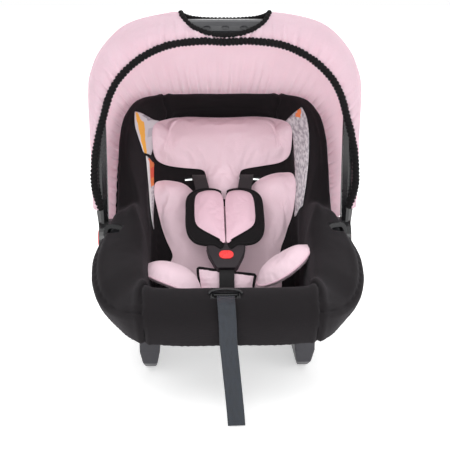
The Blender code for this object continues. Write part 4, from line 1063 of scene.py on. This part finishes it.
def canopy_net():
    over = [(0, ARCH_TOP), (50, ARCH_TOP), (ARCH_HALF - ARCH_CORNER, ARCH_TOP)]
    for degrees in (30, 55, 75, 90):
        a = math.radians(degrees)
        over.append((ARCH_HALF - ARCH_CORNER * (1 - math.sin(a)), ARCH_TOP - ARCH_CORNER * (1 - math.cos(a))))
    over += [(ARCH_HALF, 400), (ARCH_HALF, 350), (ARCH_HALF - 0.5, 300), (ARCH_HALF - 1, 258)]
    ribs = []
    for k, ((x, z), edge, u) in enumerate(zip(over, FRONT_EDGE, REAR_RIBS)):
        edge = np.array(edge, float)
        rear = bowl(u, 6.0, 8.0)
        if k == 0:
            rear[0] = 0.0
        front, back = np.array((x, -13.0, z)), np.array((x, 16.0, z))
        face = (edge + front) / 2
        face[1] = -24
        middle = (back + rear) / 2
        outwards = np.array((middle[0], 0, middle[2] - 300)) if k else np.array((0, 0, 1.0))
        middle = middle + outwards / np.linalg.norm(outwards) * np.interp(k, (0, 4, 7, 10), (34, 22, 8, 2))
        ribs.append([edge, face, front, back, middle, rear])
    count = len(ribs)
    net = np.zeros((count + 2, 8, 3))
    net[1:-1, 1:-1] = ribs
    net[1:-1, 0], net[1:-1, -1] = 2 * net[1:-1, 1] - net[1:-1, 2], 2 * net[1:-1, -2] - net[1:-1, -3]
    net[0], net[-1] = net[2] * MIRROR, 2 * net[-2] - net[-3]
    return net


CANOPY = canopy_net()


def canopy_points(a, b, lift=True):
    """Points of the canopy at rib a, from 0 on top to 10 at a hub and negative on the left, and span b from 0 at its
    front edge to 5 at its rear edge; lift adds its folds."""
    a, b = np.broadcast_arrays(np.asarray(a, float), np.asarray(b, float))
    shape = a.shape
    a, b = a.ravel(), b.ravel()
    side = np.where(a < 0, -1.0, 1.0)
    flip = side[:, None] * (1, 0, 0) + (0, 1, 1)
    at = surface_of(CANOPY, abs(a), b) * flip
    if lift:
        at = at - normal_of(CANOPY, abs(a), b) * flip * folds(at, a, b, side)[:, None]
    return at.reshape(*shape, 3)


def folds(at, a, b, side):
    """How far the canopy's pleats and slack folds stand out at its points."""
    ribs = np.linspace(0, LAST_RIB, 200)
    along = np.interp(abs(a), ribs, run_of(surface_of(CANOPY, ribs, 0 * ribs))) * side
    wander = grain(np.stack((along, b * 20, 0 * b), 1), 34, 2)
    pleats = np.sin(along * 2 * math.pi / 15.5 + 2.2 * wander)
    pleats += 0.6 * np.sin(along * 2 * math.pi / 8.7 + 3.1 * wander + 1)
    front = np.clip(1 - b / 2.1, 0, 1) ** 1.3
    front *= 0.55 + 0.45 * grain(np.stack((along, 0 * b, 0 * b), 1), 60, 7)
    rear = np.clip((b - 4.1) / 0.7, 0, 1) ** 1.6 * np.clip((5.0 - b) / 0.22, 0, 1)
    opening = np.sqrt((((at - (0, 0, ARCH_TOP)) / OPENING) ** 2).sum(1))
    round_hole = np.sin(np.arctan2(at[:, 1], at[:, 0]) * 26 + 2 * wander) * (b < 3.6)
    round_hole *= np.exp(-(((opening - 0.9) / 0.42) ** 2))
    x, y, z = at.T
    slack = 3.2 * grain(np.stack((x + z * 0.9, y * 0.2, z * 0.15), 1), 62, 4)
    slack = slack * np.clip((b - 3.0) * 1.3, 0, 1) * np.clip((5 - b) * 2, 0, 1)
    return 2.1 * front * pleats + 1.8 * rear * pleats + 0.9 * round_hole + slack


def follow_handle(piece):
    """Bakes the piece's transform into its mesh; it is not attached to the seat or the handle."""
    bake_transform(piece)


def build_canopy():
    a = np.linspace(-LAST_RIB, LAST_RIB, 401)
    b = np.concatenate((np.linspace(0.10, 3, 30), np.linspace(3.1, 4.96, 22)))
    grid = canopy_points(a[:, None], b[None, :])
    hood = add_mesh("canopy_hood", grid.reshape(-1, 3), grid_faces(len(a), len(b)), HOOD_INSIDE_PAINTED_LIGHTER)
    # The inside faces take the copy painted lighter; the skin that the thickness adds outside takes the second
    # material, the copy painted darker.
    hood.data.materials.append(HOOD_OUTSIDE_PAINTED_DARKER)
    thick = hood.modifiers.new("thickness", "SOLIDIFY")
    thick.thickness, thick.offset, thick.material_offset = 1.1 * MM, 0.0, 1
    apply_modifiers(hood)
    bm = bmesh.new()
    bmesh.ops.create_uvsphere(bm, u_segments=64, v_segments=32, radius=1.0)
    bmesh.ops.scale(bm, vec=OPENING, verts=bm.verts)
    bmesh.ops.translate(bm, vec=(0, 0, ARCH_TOP), verts=bm.verts)
    cut(hood, bm)
    hood.data.shade_smooth()
    a = np.linspace(-LAST_RIB, LAST_RIB, 400)
    front, rear = (canopy_points(a, b, False) for b in (0.0, LAST_SPAN))
    for name, line, radius, node, closed, relief in (
        ("front_elastic_binding", front, 6.0, "front_elastic", False, 0.42),
        ("rear_elastic_binding", rear, 3.2, "rear_elastic", False, 0.15),
        ("opening_elastic_binding", opening_line(), 3.9, "grip_opening_elastic", True, 0.42),
    ):
        piece = ruffle(name, line, radius, closed, relief)
        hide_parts(node)
        if node == "rear_elastic":
            follow_handle(piece)
        else:
            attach(piece, "handle")
    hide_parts("canopy")
    follow_handle(hood)


def ruffle(name, line, radius, closed, relief):
    """Gathered elastic: a binding whose small scallops stand up from its line."""
    p = evenly(line, 0.9, closed)
    run = np.arange(len(p)) * 0.9
    wander = grain(np.stack((run, 0 * run, 0 * run), 1), 18, 11)
    lobes = abs(np.sin(run * math.pi / 6.4 + 0.9 * wander))
    size = radius * (1.12 - relief + relief * lobes**0.6 + 0.2 * relief * wander)
    if not closed:
        size[:4] *= (0.3, 0.6, 0.8, 0.95)
        size[-4:] *= (0.95, 0.8, 0.6, 0.3)
    return tube(name, p, size, ELASTIC, 12, closed)


def opening_line():
    middle = np.array((0, 0, ARCH_TOP))
    points = []
    for k in range(96):
        turn = 2 * math.pi * k / 96
        low, high = 0.0, 5.0
        for _ in range(30):
            reach = (low + high) / 2
            a, b = math.cos(turn) * reach * 1.1, 2.52 + math.sin(turn) * reach
            at = canopy_points(np.array([a]), np.array([min(max(b, 0.1), 4.8)]), False)[0]
            inner = (((at - middle) / OPENING) ** 2).sum() < 0.96
            low, high = (reach, high) if inner else (low, reach)
        points.append(at)
    return np.array(points)


# ---- plastics and metal kept from the CAD


def dress(node, finish, bevel=0.0):
    """A CAD node with a better material, smooth shading and, where it helps, rounded edges."""
    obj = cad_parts[node]
    obj.data.materials.clear()
    obj.data.materials.append(finish)
    limit = math.radians(35)
    if bevel:
        modifier = obj.modifiers.new("rounded", "BEVEL")
        modifier.width, modifier.segments, modifier.limit_method = bevel * MM, 3, "ANGLE"
        modifier.angle_limit, modifier.harden_normals = limit, True
    mesh = obj.data
    mesh.shade_smooth()
    if "custom_normal" in mesh.attributes:
        mesh.attributes.remove(mesh.attributes["custom_normal"])
    mesh.set_sharp_from_angle(angle=limit)


def dress_all():
    for node, finish in (
        ("hub_socket", SHELL), ("belt_guide", DARK), ("lock_gear", GREY), ("button_spring", STEEL),
        ("handle_pivot_bolt", STEEL), ("handle_button", RED), ("buckle_tongue", STEEL),
    ):
        for _, word in SIDES:
            dress(f"{node}_{word}", finish)
    for _, word in SIDES:
        dress(f"rocker_{word}", GREY, bevel=3.0)
    for node, finish in (
        ("handle_arch", GLOSS), ("handle_grip", SHELL), ("belt_guide_rear", GLOSS), ("harness_yoke", STEEL),
        ("buckle_front", BUCKLE), ("buckle_back", BUCKLE), ("buckle_button", RED), ("buckle_latch", STEEL),
        ("crotch_anchor", STEEL), ("adjuster_housing", DARK), ("adjuster_lever", DARK),
        ("adjuster_pin", STEEL),
    ):
        dress(node, finish)


def make_floor():
    bm = bmesh.new()
    bmesh.ops.create_circle(bm, cap_ends=True, segments=96, radius=14.0)
    mesh = bpy.data.meshes.new("floor")
    bm.to_mesh(mesh)
    bm.free()
    glow = {"Emission_Color": (1.0, 1.0, 1.0, 1.0), "Emission_Strength": 0.42}
    f = Finish("pale_floor", (0.93, 0.93, 0.93), 0.9, **glow)
    f.shade(f.span(f.noise(1.2, 2.0), 0.99, 1.01))
    mesh.materials.append(f.made)
    link("floor", mesh)


make_floor()
dress_all()
build_shell()
build_cover()
build_head_cushion()
build_body_insert()
build_thigh_bolsters()
build_harness()
build_buckle_spring()
build_crotch_pad()
build_adjuster()
build_tags()
build_canopy()
